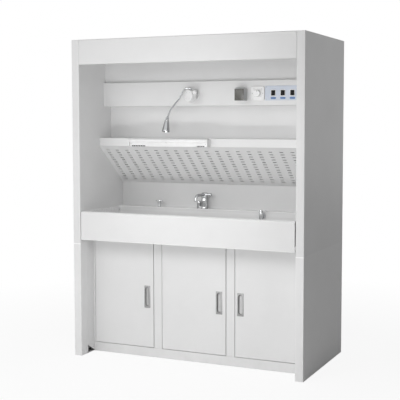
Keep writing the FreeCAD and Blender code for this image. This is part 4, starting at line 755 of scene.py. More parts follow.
class DetailSizes(bpy.types.PropertyGroup):
    """Sizes of the small forms that are added to the frame."""

    slot_press: bpy.props.FloatProperty(
        name="Slot lip", description="How deep the pressed edge of each exhaust slot dips",
        min=0.0, max=0.003, default=0.0007, **LENGTH)
    cup_lip: bpy.props.FloatProperty(
        name="Handle lip", description="Radius of the rolled lip round each handle cup",
        min=0.0005, max=0.003, default=0.0017, **LENGTH)
    screw_radius: bpy.props.FloatProperty(
        name="Screw head", description="Radius of the rear and roof screws' pan heads",
        min=0.001, max=0.006, default=0.0045, **LENGTH)
    knob_flutes: bpy.props.IntProperty(
        name="Knob flutes", description="Number of grip flutes round the speed knob",
        min=6, max=60, default=24)
    pill_tall: bpy.props.FloatProperty(
        name="Label field height", description="Height of the blank label fields under the switches",
        min=0.004, max=0.02, default=0.0125, **LENGTH)


def colours():
    """The finish colours of this scene."""
    return bpy.context.scene.workstation_colours


def sizes():
    """The detail sizes of this scene."""
    return bpy.context.scene.workstation_sizes


FINISHES = {}


def finish(name):
    """A finish by its slot name, made the first time it is asked for."""
    shade = colours()
    coat = tuple(shade.coat)
    makers = {
        "powder_white": lambda: coat_material("Powder coat", coat),
        # Rear covers: powder coat with painted shade on their inner faces
        "rear_coat": lambda: coat_material("Rear cover coat", coat, painted_inner_shade=True),
        # Lower carcass: the same powder coat painted lighter, as painted light on the lower part, with a
        # painted highlight line along the seam
        "lower_coat": lambda: coat_material(
            "Lower carcass coat", tuple(min(1.0, part * 1.04) for part in shade.coat),
            bands=((SEAM_Z - 0.003, 0.004),)),
        # Apron: painted highlight lines along its top edge and its lower edge
        "apron_coat": lambda: coat_material(
            "Apron coat", coat, bands=((RIM_Z, 0.0035), (APRON_LOW_Z + 0.001, 0.0035))),
        "door_coat": lambda: coat_material("Door coat", tuple(shade.doors), roughness=0.40),
        # Basin: painted highlight line along the front edge of the ledge
        "steel_sink": lambda: steel_material(
            "Basin steel", tuple(shade.steel), 0.42, metallic=0.0, bands=((RIM_Z - 0.001, 0.0035),)),
        "steel_handle": lambda: steel_material(
            "Handle steel", (0.40, 0.40, 0.40), 0.34, (900.0, 900.0, 3.0), metallic=0.5),
        "steel_pin": lambda: steel_material("Hinge steel", (0.62, 0.62, 0.61), 0.35),
        "screw_steel": lambda: steel_material(
            "Screw steel", (0.60, 0.60, 0.60), 0.33, (120.0, 1500.0, 1500.0), 0.0003),
        # Both chromes carry a painted dark reflection at their rims; the lamp's copy is the same chrome
        # painted darker, for the darker reflections on the lamp head
        "chrome": lambda: chrome_material("Polished chrome", (0.80, 0.81, 0.82), (0.20, 0.20, 0.21)),
        "lamp_chrome": lambda: chrome_material("Lamp chrome", (0.52, 0.53, 0.54), (0.06, 0.06, 0.065)),
        "zinc": lambda: cast_material("Zinc plate", (0.62, 0.63, 0.64), 0.9, 0.42),
        "white_plastic": lambda: plastic_material("White plastic", tuple(shade.plastic)),
        "grey_plastic": lambda: plastic_material("Grey plastic", (0.56, 0.57, 0.57), 0.42),
        "diffuser": lambda: plastic_material("Lamp diffuser", (0.97, 0.97, 0.97), 0.30, 0.05),
        "smoke": lambda: clear_material("Smoked lid", (0.150, 0.147, 0.133), 0.16, 0.80),
        "black_plastic": lambda: plastic_material("Black plastic", (0.008, 0.008, 0.009), 0.30, shine=0.12),
        "panel_blue": lambda: coat_material(
            "Switch panel", tuple(shade.plate), 0.38, edge=0.0006, dust=False, peel=0.12),
        "pill_blue": lambda: plastic_material("Label field", tuple(shade.pill), 0.4),
        "pipe_plastic": lambda: plastic_material("Pipe plastic", (0.70, 0.70, 0.68), 0.45),
        "filter_media": lambda: cast_material("Filter media", (0.52, 0.52, 0.50), 0.0, 0.9, 900.0, 0.8),
        "fan_plastic": lambda: plastic_material("Fan plastic", (0.05, 0.052, 0.055), 0.5),
        "lens": lambda: clear_material("Lamp lens", (0.85, 0.87, 0.88), 0.12, 0.55),
    }
    if name not in FINISHES:
        FINISHES[name] = makers[name]()
    return FINISHES[name]


class WORKSTATION_OT_finishes(bpy.types.Operator):
    """Give every piece of the frame its finish"""

    bl_idname = "workstation.finishes"
    bl_label = "Frame finishes"

    def execute(self, context):
        for name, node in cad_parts.items():
            paint(node, finish(NODE_FINISH[name]))
            for polygon in node.data.polygons:
                polygon.material_index = 0
        return {"FINISHED"}


class WORKSTATION_OT_stage(bpy.types.Operator):
    """Set the floor, the lights, the white surroundings and the camera"""

    bl_idname = "workstation.stage"
    bl_label = "Floor, lights and camera"

    def execute(self, context):
        camera = bpy.data.cameras.new("Camera")
        camera.lens = CAMERA_LENS
        camera.sensor_width = CAMERA_SENSOR
        camera.shift_x, camera.shift_y = CAMERA_SHIFT
        camera.clip_end = CAMERA_FAR
        seat = bpy.data.objects.new("Camera", camera)
        bpy.context.scene.collection.objects.link(seat)
        seat.location = CAMERA_PLACE
        seat.rotation_euler = (math.radians(90 + CAMERA_PITCH), 0.0, math.radians(CAMERA_YAW))
        bpy.context.scene.camera = seat
        self.lay_floor()
        self.light_world()
        for lamp in STUDIO_LAMPS:
            self.hang_lamp(*lamp)
        bpy.context.scene.view_settings.view_transform = "Standard"
        return {"FINISHED"}

    def lay_floor(self):
        """A wide pale floor, white to the camera, that keeps the shadow of the workstation."""
        shape = bmesh.new()
        bmesh.ops.create_grid(shape, x_segments=8, y_segments=8, size=FLOOR_HALF)
        floor = from_bmesh("studio_floor", shape, None)
        pale = tuple(colours().floor)
        material, w, shader = new_material("Studio floor", pale, 0.0, 0.85)
        at = w.coords()
        grain = w.noise(at, 90.0, 3.0)
        w.feed(shader, Base_Color=w.blend(grain, pale, shaded(pale, 0.985)))
        bumped(w, shader, grain, 0.02, 0.0005)
        paths = w.add("ShaderNodeLightPath").outputs
        seen = w.math("MAXIMUM", paths["Is Camera Ray"], paths["Is Transmission Ray"])
        white = w.add("ShaderNodeEmission", Color=WHITE, Strength=1.0)
        glow = w.span(w.vector("LENGTH", at)["Value"], *FLOOR_FADE, FLOOR_GLOW, 1.0)
        joined = w.add("ShaderNodeMixShader", Fac=w.math("MULTIPLY", seen, glow))
        w.set(joined.inputs[1], shader.outputs["BSDF"])
        w.set(joined.inputs[2], white.outputs["Emission"])
        w.feed(material.node_tree.nodes["Material Output"], Surface=joined.outputs["Shader"])
        paint(floor, material)

    def light_world(self):
        """White surroundings to the camera and in reflections, and a soft light, weaker from the right."""
        world = bpy.data.worlds.new("Surroundings")
        world.use_nodes = True
        bpy.context.scene.world = world
        w = Weaver(world.node_tree)
        paths = w.add("ShaderNodeLightPath").outputs
        seen = w.math("MAXIMUM", paths["Is Camera Ray"], paths["Is Glossy Ray"])
        seen = w.math("MAXIMUM", seen, paths["Is Transmission Ray"])
        right = w.parts(w.coords("Generated"))["X"]
        dim = w.span(right, 0.0, 1.0, WORLD_FILL, WORLD_FILL * (1.0 - WORLD_SHADE))
        back = world.node_tree.nodes["Background"]
        w.feed(back, Color=WHITE, Strength=w.math("MAXIMUM", seen, dim))

    def hang_lamp(self, name, spot, aim, size, power):
        """One soft rectangular lamp, aimed at a point and hidden from the camera."""
        lamp = bpy.data.lights.new(name, "AREA")
        lamp.energy = power
        lamp.shape = "RECTANGLE"
        lamp.size, lamp.size_y = size
        holder = bpy.data.objects.new(name, lamp)
        holder.visible_camera = False
        bpy.context.scene.collection.objects.link(holder)
        holder.location = spot
        way = Vector(aim) - Vector(spot)
        holder.rotation_euler = way.to_track_quat("-Z", "Y").to_euler()


class WORKSTATION_OT_baffle(bpy.types.Operator):
    """Punch the sloping exhaust panel with round-ended slots that have a pressed lip"""

    bl_idname = "workstation.baffle"
    bl_label = "Slotted exhaust panel"

    def execute(self, context):
        half = node_box("slotted_baffle")[1].x
        tilt = math.atan2(BAFFLE_FALL, BAFFLE_RUN)
        long = math.hypot(BAFFLE_RUN, BAFFLE_FALL)
        seat = Matrix.Translation((0.0, BAFFLE_TOP_Y, BAFFLE_TOP_Z)) @ Matrix.Rotation(-tilt, 4, "X")
        first_x = -SLOT_PITCH_X * (SLOT_COLUMNS - 1) / 2
        first_y = (long - SLOT_PITCH_Y * (SLOT_ROWS - 1)) / 2
        outline = [(y, -x) for x, y in stadium_points(SLOT_TALL / 2, SLOT_LONG / 2, 6)]
        rings = self.cell_rings(outline, sizes().slot_press)
        shape = bmesh.new()
        for column in range(SLOT_COLUMNS):
            for row in range(SLOT_ROWS):
                x = first_x + column * SLOT_PITCH_X
                y = first_y + row * SLOT_PITCH_Y
                stack_loops(shape, [
                    [seat @ Vector((x + px, y + py, pz)) for px, py, pz in ring] for ring in rings])
        left = first_x - SLOT_PITCH_X / 2
        near = first_y - SLOT_PITCH_Y / 2
        far = long - near
        for xs, ys in (
                ((-half, half), (0.0, near)), ((-half, half), (far, long)),
                ((-half, left), (near, far)), ((-left, half), (near, far))):
            for height in (0.0, -BAFFLE_THICK):
                corners = [(xs[0], ys[0]), (xs[1], ys[0]), (xs[1], ys[1]), (xs[0], ys[1])]
                if height < 0:
                    corners.reverse()
                shape.faces.new([shape.verts.new(seat @ Vector((cx, cy, height))) for cx, cy in corners])
        panel = from_bmesh("exhaust_panel", shape, 20, outwards=False)
        place(panel, ROOT_BODY, finish("powder_white"), ("slotted_baffle",))
        return {"FINISHED"}

    def cell_rings(self, outline, press):
        """Rings of one cell of the grid, a rectangle of sheet round a slot: front, slot wall and back."""
        half_x, half_y = SLOT_PITCH_X / 2, SLOT_PITCH_Y / 2
        edge = []
        for px, py in outline:
            reach = min(half_x / abs(px) if px else 1e9, half_y / abs(py) if py else 1e9)
            edge.append((px * reach, py * reach))
        for corner in ((half_x, half_y), (-half_x, half_y), (-half_x, -half_y), (half_x, -half_y)):
            nearest = min(range(len(edge)), key=lambda index: math.dist(edge[index], corner))
            edge[nearest] = corner
        grown = [self.offset(outline, index, SLOT_LIP) for index in range(len(outline))]
        levels = (
            (edge, 0.0), (grown, 0.0), (outline, -press), (outline, -BAFFLE_THICK - press),
            (grown, -BAFFLE_THICK), (edge, -BAFFLE_THICK))
        return [[(px, py, height) for px, py in ring] for ring, height in levels]

    def offset(self, outline, index, amount):
        """A point of the outline, moved outwards."""
        before = Vector(outline[index - 1])
        after = Vector(outline[(index + 1) % len(outline)])
        run = (after - before).normalized()
        moved = Vector(outline[index]) + Vector((run.y, -run.x)) * amount
        return moved.x, moved.y


def upright_oblong(half_wide, half_tall, steps):
    """Points of an upright oblong with round ends, in X and Z."""
    return [Vector((x, 0.0, z)) for x, z in stadium_points(half_wide, half_tall, steps)]


def squared_ring(points, half_wide, half_tall, corner):
    """The same count of points spread round a rectangle with rounded corners, in X and Z."""
    ring = []
    for point in points:
        x, z = point.x / half_wide, point.z / half_tall
        reach = 1.0 / max(abs(x), abs(z))
        px, pz = point.x * reach, point.z * reach
        inner_x, inner_z = half_wide - corner, half_tall - corner
        if abs(px) > inner_x and abs(pz) > inner_z:
            centre = Vector((math.copysign(inner_x, px), 0.0, math.copysign(inner_z, pz)))
            way = Vector((px, 0.0, pz)) - centre
            moved = centre + way.normalized() * corner
            px, pz = moved.x, moved.z
        ring.append(Vector((px, 0.0, pz)))
    return ring


class WORKSTATION_OT_handles(bpy.types.Operator):
    """Press the flush cup handles: plate, rolled lip and rounded cup"""

    bl_idname = "workstation.handles"
    bl_label = "Flush cup handles"

    def execute(self, context):
        for side in ("left", "middle", "right"):
            self.press(side)
        return {"FINISHED"}

    def press(self, side):
        """One handle in the place of its node."""
        low, high = node_box("handle_" + side)
        seat = Vector(((low.x + high.x) / 2, low.y, (low.z + high.z) / 2))
        half_wide, half_tall = (high.x - low.x) / 2, (high.z - low.z) / 2
        cup = self.grown(0.0)
        lip = sizes().cup_lip
        floor_drop = high.y - low.y - CUP_WALL
        plate = squared_ring(cup, half_wide, half_tall, PLATE_CORNER)
        plate_in = squared_ring(
            cup, half_wide - PLATE_ROUND, half_tall - PLATE_ROUND, PLATE_CORNER - PLATE_ROUND)
        loops = [
            self.lifted(plate, PLATE_THICK),
            self.lifted(plate, PLATE_ROUND),
            self.lifted(plate_in, 0.0002),
        ]
        for grow, lift in ((2.0, 0.0002), (1.7, 0.0), (1.0, 0.0), (0.35, 0.0002), (0.0, 0.0012)):
            loops.append(self.lifted(self.grown(lip * grow), lift))
        for inset, drop in ((0.0, 0.5), (0.0006, 0.82), (0.0022, 0.95), (0.0052, 1.0)):
            loops.append(self.lifted(self.grown(-inset), floor_drop * drop))
        back = [
            self.lifted(self.grown(CUP_WALL), floor_drop + CUP_WALL),
            self.lifted(self.grown(CUP_WALL), PLATE_THICK),
            self.lifted(plate, PLATE_THICK),
        ]
        shape = bmesh.new()
        for side_loops, end in ((loops, -1), (back, 0)):
            rings = stack_loops(shape, [[seat + point for point in loop] for loop in side_loops])
            self.close_oblong(shape, rings[end])
        bmesh.ops.remove_doubles(shape, verts=shape.verts, dist=MERGE)
        handle = from_bmesh("cup_handle_" + side, shape, 50)
        place(handle, side + "_door", finish("steel_handle"), ("handle_" + side,))

    def grown(self, amount):
        """The cup's outline, grown all round."""
        return upright_oblong(CUP_WIDE / 2 + amount, CUP_TALL / 2 + amount, 10)

    def lifted(self, loop, drop):
        """A loop moved back into the door by a depth."""
        return [point + Vector((0.0, drop, 0.0)) for point in loop]

    def close_oblong(self, shape, ring):
        """Close a round-ended loop with rungs from one long side to the other."""
        half = len(ring) // 2
        for end in (ring[:half], ring[half:]):
            for index in range(half // 2):
                corners = (end[index], end[index + 1], end[half - 2 - index], end[half - 1 - index])
                ordered = list(dict.fromkeys(corners))
                if len(ordered) >= 3:
                    shape.faces.new(ordered)
        shape.faces.new([ring[0], ring[half - 1], ring[half], ring[-1]])


class WORKSTATION_OT_tap(bpy.types.Operator):
    """Turn the lever tap: column with its collars, side valve, spout and fluted knob"""

    bl_idname = "workstation.tap"
    bl_label = "Lever tap"

    def execute(self, context):
        low, high = node_box("tap_body")
        rim = low.z
        base = Vector((TAP_X, TAP_Y, rim))
        spindle = high.z - rim
        column = [
            (0.0, 0.0), (0.0225, 0.0), (0.0228, 0.0008), (0.0228, 0.0026), (0.0215, 0.0038), (0.0196, 0.0046),
            (0.0189, 0.0062), (0.0186, 0.012), (0.0186, 0.0475), (0.0190, 0.0485), (0.0190, 0.0535),
            (0.0186, 0.0545), (0.0186, 0.0650), (0.0183, 0.0672), (0.0172, 0.0680), (0.0095, 0.0680),
            (0.0095, spindle), (0.0, spindle),
        ]
        shape = bmesh.new()
        add_lathe(shape, column, base)
        side = base - Vector((TAP_BLOCK_X, 0.0, 0.0))
        valve = [
            (0.0, 0.0), (0.0138, 0.0), (0.0140, 0.0006), (0.0140, 0.0030), (0.0128, 0.0036), (0.0128, 0.0290),
            (0.0138, 0.0298), (0.0138, 0.0360), (0.0128, 0.0368), (0.0128, 0.0425), (0.0118, 0.0448),
            (0.0095, 0.0458), (0.0, 0.0460),
        ]
        add_lathe(shape, valve, side, steps=36)
        bridge_half = 0.0108
        add_box(shape, (side.x, TAP_Y - bridge_half, rim + 0.0003),
                (base.x, TAP_Y + bridge_half, rim + 0.0135), 0.0030, 3)
        put("tap_column", shape, 30, ROOT_BODY, "chrome", "tap_body")
        self.make_head(base, node_box("tap_spout")[1].z - rim)
        self.make_knob()
        return {"FINISHED"}

    def make_head(self, base, top):
        """The swivelling head, the spout and its outlet."""
        seat = top - TAP_HEAD_TALL
        shape = bmesh.new()
        add_lathe(shape, [
            (0.0, seat), (0.0183, seat), (0.0188, seat + 0.0010), (0.0188, seat + 0.0052),
            (0.0182, seat + 0.0060), (0.0188, seat + 0.0068), (0.0188, seat + 0.0268),
            (0.0180, seat + 0.0300), (0.0160, seat + 0.0325),
            (0.0125, seat + 0.0337), (0.0, top)], base)
        axis_z = base.z + seat + TAP_HEAD_TALL * 0.62
        add_lathe(shape, [
            (0.0, 0.0), (0.0115, 0.0), (0.0115, 0.0200), (0.0108, 0.0212), (0.0, 0.0212)],
            Vector((base.x, base.y, axis_z)), (1, 0, 0), 32)
        put("tap_head", shape, 30, "tap_spout", "chrome", "tap_spout")
        tip_y = base.y - SPOUT_REACH
        points = [
            Vector((base.x, y, axis_z + rise)) for y, rise in (
                (base.y - 0.012, 0.0), (base.y - 0.050, 0.0008), (tip_y + 0.040, 0.0012),
                (tip_y + 0.020, -0.0010), (tip_y + 0.0085, -0.0100), (tip_y + 0.0025, -0.0230),
                (tip_y, -SPOUT_DROP))]
        path = smooth_path(points, 6)
        spout = tube_along(
            "tap_spout_tube", path, lambda run: 0.0086 + 0.0026 * max(0.0, 1.0 - run / 0.03) ** 2, 28)
        place(spout, "tap_spout", finish("chrome"))
        way = (path[-1] - path[-2]).normalized()
        shape = bmesh.new()
        add_lathe(shape, [
            (0.0086, -0.0120), (0.0090, -0.0115), (0.0090, -0.0010), (0.0086, -0.0002), (0.0070, -0.0002),
            (0.0068, -0.0060), (0.0, -0.0062)], path[-1], way, 32)
        put("tap_outlet", shape, 30, "tap_spout", "chrome")

    def make_knob(self):
        """The knob at the right of the head, with shallow grip flutes and an end cap."""
        low, high = node_box("tap_lever")
        start = Vector((low.x, (low.y + high.y) / 2, (low.z + high.z) / 2))
        long = high.x - low.x
        radius = (high.z - low.z) / 2
        rows = (
            (0.72, 0.0002, 0.0), (0.88, 0.0020, 0.0), (0.98, 0.0042, 0.0), (0.99, 0.0056, 0.9),
            (0.99, 0.0225, 0.9), (0.99, 0.0245, 0.0), (0.93, 0.0272, 0.0), (0.76, long - 0.0008, 0.0),
            (0.60, long, 0.0))
        loops = fluted_loops(
            [(radius * share, height, flute) for share, height, flute in rows], TAP_KNOB_FLUTES * 8,
            lambda angle: 0.0007 * max(0.0, math.cos(angle * TAP_KNOB_FLUTES)),
            lambda x, y, height: start + Vector((height, x, y)))
        put_loops("tap_knob", loops, 38, "tap_lever", "chrome", "tap_lever")


class WORKSTATION_OT_sprayer(bpy.types.Operator):
    """Turn the small wall tap at the back of the basin and its lever"""

    bl_idname = "workstation.sprayer"
    bl_label = "Small wall tap"

    def execute(self, context):
        axis = Vector((SPRAY_X, SPRAY_Y, SPRAY_Z - SPRAY_TALL / 2))
        shape = bmesh.new()
        add_lathe(shape, [
            (0.0, 0.0), (0.0098, 0.0), (0.0115, 0.0008), (0.0128, 0.0030), (0.0128, 0.0155), (0.0122, 0.0162),
            (0.0122, 0.0180), (0.0128, 0.0188), (0.0128, 0.0480), (0.0120, 0.0515), (0.0104, 0.0535),
            (0.0050, 0.0540), (0.0045, 0.0585), (0.0, 0.0590)], axis, steps=40)
        reach = node_box("sprayer_body")[1].y - SPRAY_Y
        add_lathe(shape, [
            (0.0, 0.0), (0.0086, 0.0), (0.0086, 0.0105), (0.0104, 0.0120), (0.0104, 0.0165), (0.0088, 0.0180),
            (0.0088, reach - 0.0035), (0.0180, reach - 0.0030), (0.0198, reach - 0.0012), (0.0200, reach),
            (0.0, reach)], Vector((SPRAY_X, SPRAY_Y, SPRAY_Z)), (0, 1, 0), 40)
        start = axis + Vector((0.0, 0.0, 0.013))
        mouth = axis + Vector((0.026, -0.026, -0.013))
        way = (mouth - start).normalized()
        long = (mouth - start).length
        add_lathe(shape, [
            (0.0, 0.0), (0.0071, 0.004), (0.0066, long - 0.014), (0.0071, long - 0.012),
            (0.0072, long - 0.001),
            (0.0066, long), (0.0046, long), (0.0044, long - 0.009), (0.0, long - 0.0092)], start, way, 32)
        put("wall_tap_body", shape, 30, ROOT_BODY, "chrome", "sprayer_body")
        high = node_box("sprayer_lever")[1]
        top = Vector((SPRAY_X, SPRAY_Y, SPRAY_Z + SPRAY_TALL / 2))
        shape = bmesh.new()
        add_lathe(shape, [
            (0.0, 0.0004), (0.0106, 0.0004), (0.0110, 0.0010), (0.0110, 0.0072), (0.0100, 0.0090),
            (0.0072, 0.0098), (0.0, 0.0100)], top, steps=40)
        end = Vector((high.x - 0.0005, SPRAY_Y, top.z + 0.0052))
        loops = []
        for point, wide, thick in (
                (top + Vector((0.002, 0.0, 0.0050)), 0.0046, 0.0024),
                (top + Vector((0.016, 0.0, 0.0049)), 0.0040, 0.0019),
                (end - Vector((0.008, 0.0, 0.0)), 0.0046, 0.0022),
                (end, 0.0036, 0.0016)):
            loops.append([
                point + Vector((0.0, wide * math.cos(angle), thick * math.sin(angle)))
                for angle in turns(16)])
        stack_loops(shape, loops, True)
        put("wall_tap_lever", shape, 30, "sprayer_lever", "chrome", "sprayer_lever")
        return {"FINISHED"}


class WORKSTATION_OT_rinse_valve(bpy.types.Operator):
    """Turn the small valve on the ledge: a grooved column, and a hub with a cross bar"""

    bl_idname = "workstation.rinse_valve"
    bl_label = "Rinse valve"

    def execute(self, context):
        base = Vector((RINSE_X, TAP_Y, RIM_Z))
        top = RINSE_TALL
        shape = bmesh.new()
        add_lathe(shape, [
            (0.0, 0.0), (0.0118, 0.0), (0.0120, 0.0003), (0.0116, 0.0014), (0.0092, 0.0034), (0.0082, 0.0042),
            (0.0079, 0.0060), (0.0079, top - 0.0070), (0.0074, top - 0.0064), (0.0074, top - 0.0052),
            (0.0079, top - 0.0046), (0.0079, top - 0.0012), (0.0071, top - 0.0002), (0.0035, top),
            (0.0035, RINSE_STEM), (0.0, RINSE_STEM)], base)
        put("rinse_column", shape, 30, ROOT_BODY, "chrome", "rinse_valve_body")
        hub = base + Vector((0.0, 0.0, top))
        shape = bmesh.new()
        add_lathe(shape, [
            (0.0, 0.0094), (0.0037, 0.0094), (0.0037, 0.0004), (0.0062, 0.0004), (0.0070, 0.0012),
            (0.0070, 0.0108), (0.0064, 0.0122), (0.0046, 0.0129), (0.0, 0.0130)], hub, steps=40)
        end = RINSE_BAR_HALF
        for side in (-1, 1):
            add_lathe(shape, [
                (0.0, 0.0042), (0.0040, 0.0042), (0.0040, end - 0.0075), (0.0036, end - 0.0069),
                (0.0036, end - 0.0060), (0.0040, end - 0.0054), (0.0040, end - 0.0014),
                (0.0034, end - 0.0003),
                (0.0, end)], hub + Vector((0.0, 0.0, 0.0065)), (side, 0, 0), 28)
        put("rinse_cross_bar", shape, 30, "rinse_bar", "chrome", "rinse_valve_bar")
        return {"FINISHED"}


class WORKSTATION_OT_task_lamp(bpy.types.Operator):
    """Build the task lamp on its wall rose: drum, dimmer knob, bent neck, conical head and lens"""

    bl_idname = "workstation.task_lamp"
    bl_label = "Task lamp"

    def execute(self, context):
        shoulder = Vector((LAMP_X, BAND_Y - LAMP_ROSE_DEEP, LAMP_Z)) + LAMP_WAY * DRUM_STAND
        back = shoulder + LAMP_WAY * 0.0003
        shape = bmesh.new()
        add_lathe(shape, [
            (0.0, 0.0), (0.0330, 0.0), (0.0362, 0.0008), (0.0375, 0.0030), (0.0375, 0.0180), (0.0371, 0.0186),
            (0.0371, 0.0198), (0.0375, 0.0204), (0.0375, 0.0352), (0.0366, 0.0382), (0.0345, 0.0396),
            (0.0312, 0.0400), (0.0296, 0.0396), (0.0288, 0.0388), (0.0, 0.0384)], back, LAMP_WAY, 72)
        put("lamp_drum_shell", shape, 28, "lamp_arm", "white_plastic", "lamp_drum")
        # Grey strips as painted shade for the drum's cooling slits
        for angle in DRUM_VENTS:
            self.drum_vent(back, angle * math.pi)
        self.make_knob(back)
        self.make_head(self.make_neck(back))
        return {"FINISHED"}

    def drum_vent(self, back, angle):
        """A short grey strip in the rim of the drum's front: painted shade that stands for a cooling slit."""
        side = LAMP_WAY.cross(Vector((0, 0, 1))).normalized()
        up = side.cross(LAMP_WAY).normalized()
        loops = []
        for height in (0.03845, 0.0390):
            loop = []
            for radius, run in ((0.0262, range(9)), (0.0248, range(8, -1, -1))):
                for step in run:
                    turn = angle - DRUM_VENT_HALF + 2 * DRUM_VENT_HALF * step / 8
                    spoke = side * math.cos(turn) + up * math.sin(turn)
                    loop.append(back + LAMP_WAY * height + spoke * radius)
            loops.append(loop)
        name = "lamp_drum_slit_" + str(int(round(angle * 100)))
        put_loops(name, loops, 30, "lamp_arm", "grey_plastic")

    def make_knob(self, back):
        """The dimmer knob on its stem, with grip ribs."""
        side = LAMP_WAY.cross(Vector((0, 0, -1))).normalized()
        lift = math.radians(KNOB_LIFT)
        way = side * math.cos(lift) + Vector((0, 0, math.sin(lift)))
        seat = back + LAMP_WAY * DRUM_MIDDLE + way * DRUM_R
        shape = bmesh.new()
        add_lathe(shape, [(0.0, -0.004), (0.0046, -0.004), (0.0046, 0.0025), (0.0, 0.0025)], seat, way, 24)
        put("lamp_knob_stem", shape, 30, "lamp_arm", "white_plastic")
        turn = axis_turn(way).to_3x3()
        loops = fluted_loops(
            ((0.0088, 0.0020, 0), (0.0112, 0.0022, 0), (0.0133, 0.0042, 0), (0.0139, 0.0056, 1),
             (0.0139, 0.0138, 1), (0.0128, 0.0160, 1), (0.0098, 0.0210, 0), (0.0088, 0.0220, 0),
             (0.0074, 0.0224, 0)), LAMP_KNOB_RIBS * 4,
            lambda angle: 0.0005 * (0.5 + 0.5 * math.cos(angle * LAMP_KNOB_RIBS)),
            lambda x, y, height: seat + turn @ Vector((x, y, height)))
        put_loops("lamp_dimmer_knob", loops, 35, "lamp_knob", "white_plastic", "lamp_knob")

    def make_neck(self, back):
        """The bent chrome neck with its ferrules and the eye that carries the head."""
        middle = back + LAMP_WAY * DRUM_MIDDLE
        path = bent_path([middle + Vector(point) * MM for point in NECK_POINTS], [r * MM for r in NECK_RADII])
        neck = tube_along("lamp_neck", path, lambda run: NECK_R)
        place(neck, "lamp_arm", finish("lamp_chrome"), ("gooseneck",))
        pivot = path[-1]
        shape = bmesh.new()
        add_lathe(shape, [
            (0.0, -0.026), (0.0052, -0.026), (0.0056, -0.0255), (0.0056, -0.0190), (0.0050, -0.0184),
            (0.0050, -0.0128), (0.0056, -0.0122), (0.0056, -0.0076), (0.0, -0.0076)],
            pivot, pivot - path[-2], 28)
        add_lathe(shape, [
            (0.0, -0.0060), (0.0058, -0.0060), (0.0067, -0.0052), (0.0067, 0.0052), (0.0058, 0.0060),
            (0.0, 0.0060)],
            pivot, (1, 0, 0), 28)
        put("lamp_neck_ferrules", shape, 30, "lamp_arm", "chrome", look="lamp_chrome")
        return pivot

    def make_head(self, pivot):
        """The conical head with a rolled mouth, fork and pin, and its lens, tilted on the neck's eye."""
        mouth = Vector((0.0, 0.0, -HEAD_SHOULDER_DROP - HEAD_LONG))
        tilted = Matrix.Translation(pivot) @ Matrix.Rotation(-math.radians(HEAD_TILT), 4, "X")
        top = HEAD_LONG
        shape = bmesh.new()
        add_lathe(shape, [
            (0.0, top), (0.0080, top), (0.0112, top - 0.0006), (0.0120, top - 0.0024),
            (0.0124, top - 0.0060), (0.0130, top - 0.0066), (0.0130, top - 0.0082),
            (0.0127, top - 0.0088), (0.0218, 0.0080), (0.0224, 0.0050), (0.0229, 0.0040), (0.0230, 0.0010),
            (0.0226, 0.0), (0.0216, 0.0), (0.0212, 0.0012), (0.0114, top - 0.0060),
            (0.0, top - 0.0070)], mouth, steps=56)
        for side in (-1, 1):
            x = side * 0.0078
            add_box(shape, (x - 0.0015, -0.0046, -HEAD_SHOULDER_DROP - 0.0006),
                    (x + 0.0015, 0.0046, 0.0044), 0.0012, 3)
            add_lathe(shape, [(0.0, 0.0), (0.0031, 0.0), (0.0031, 0.0004), (0.0022, 0.0005), (0.0, 0.0005)],
                      Vector((side * 0.0093, 0.0, 0.0)), (side, 0, 0), 20)
        bmesh.ops.transform(shape, matrix=tilted, verts=shape.verts)
        put("lamp_shade", shape, 32, "lamp_head", "chrome", "lamp_head", look="lamp_chrome")
        shape = bmesh.new()
        add_lathe(shape, [
            (0.0, 0.0003), (LENS_R * 0.45, 0.0), (LENS_R * 0.9, 0.0004), (LENS_R, 0.0010), (LENS_R, 0.0026),
            (LENS_R * 0.92, 0.0030), (0.0, 0.0030)], mouth + Vector((0.0, 0.0, LENS_INSET)))
        bmesh.ops.transform(shape, matrix=tilted, verts=shape.verts)
        put("lamp_lens_disc", shape, 35, "lamp_head", "lens", "lamp_lens")


def pan_screw(name, centre, way, slot_turn, radius=None):
    """A small pan-head screw with a cross recess, seated on a surface of the cabinet."""
    radius = radius or sizes().screw_radius
    tall = radius * 0.55
    turn = axis_turn(way).to_3x3() @ Matrix.Rotation(slot_turn, 3, "Z")
    steps = 32
    head = [((share,) * steps, height) for share, height in (
        (1.0, 0.0), (1.0, 0.25), (0.93, 0.62), (0.72, 0.90), (0.52, 1.0), (0.46, 1.0))]
    cross = [0.40 if step % 8 in (0, 1, 7) else 0.17 for step in range(steps)]
    loops = []
    for shares, height in (*head, (cross, 1.0), (cross, 0.35)):
        loops.append([
            Vector(centre) + turn @ Vector((
                radius * share * math.cos(angle), radius * share * math.sin(angle), tall * height))
            for share, angle in zip(shares, turns(steps))])
    put_loops(name, loops, 32, ROOT_BODY, "steel_pin", look="screw_steel")


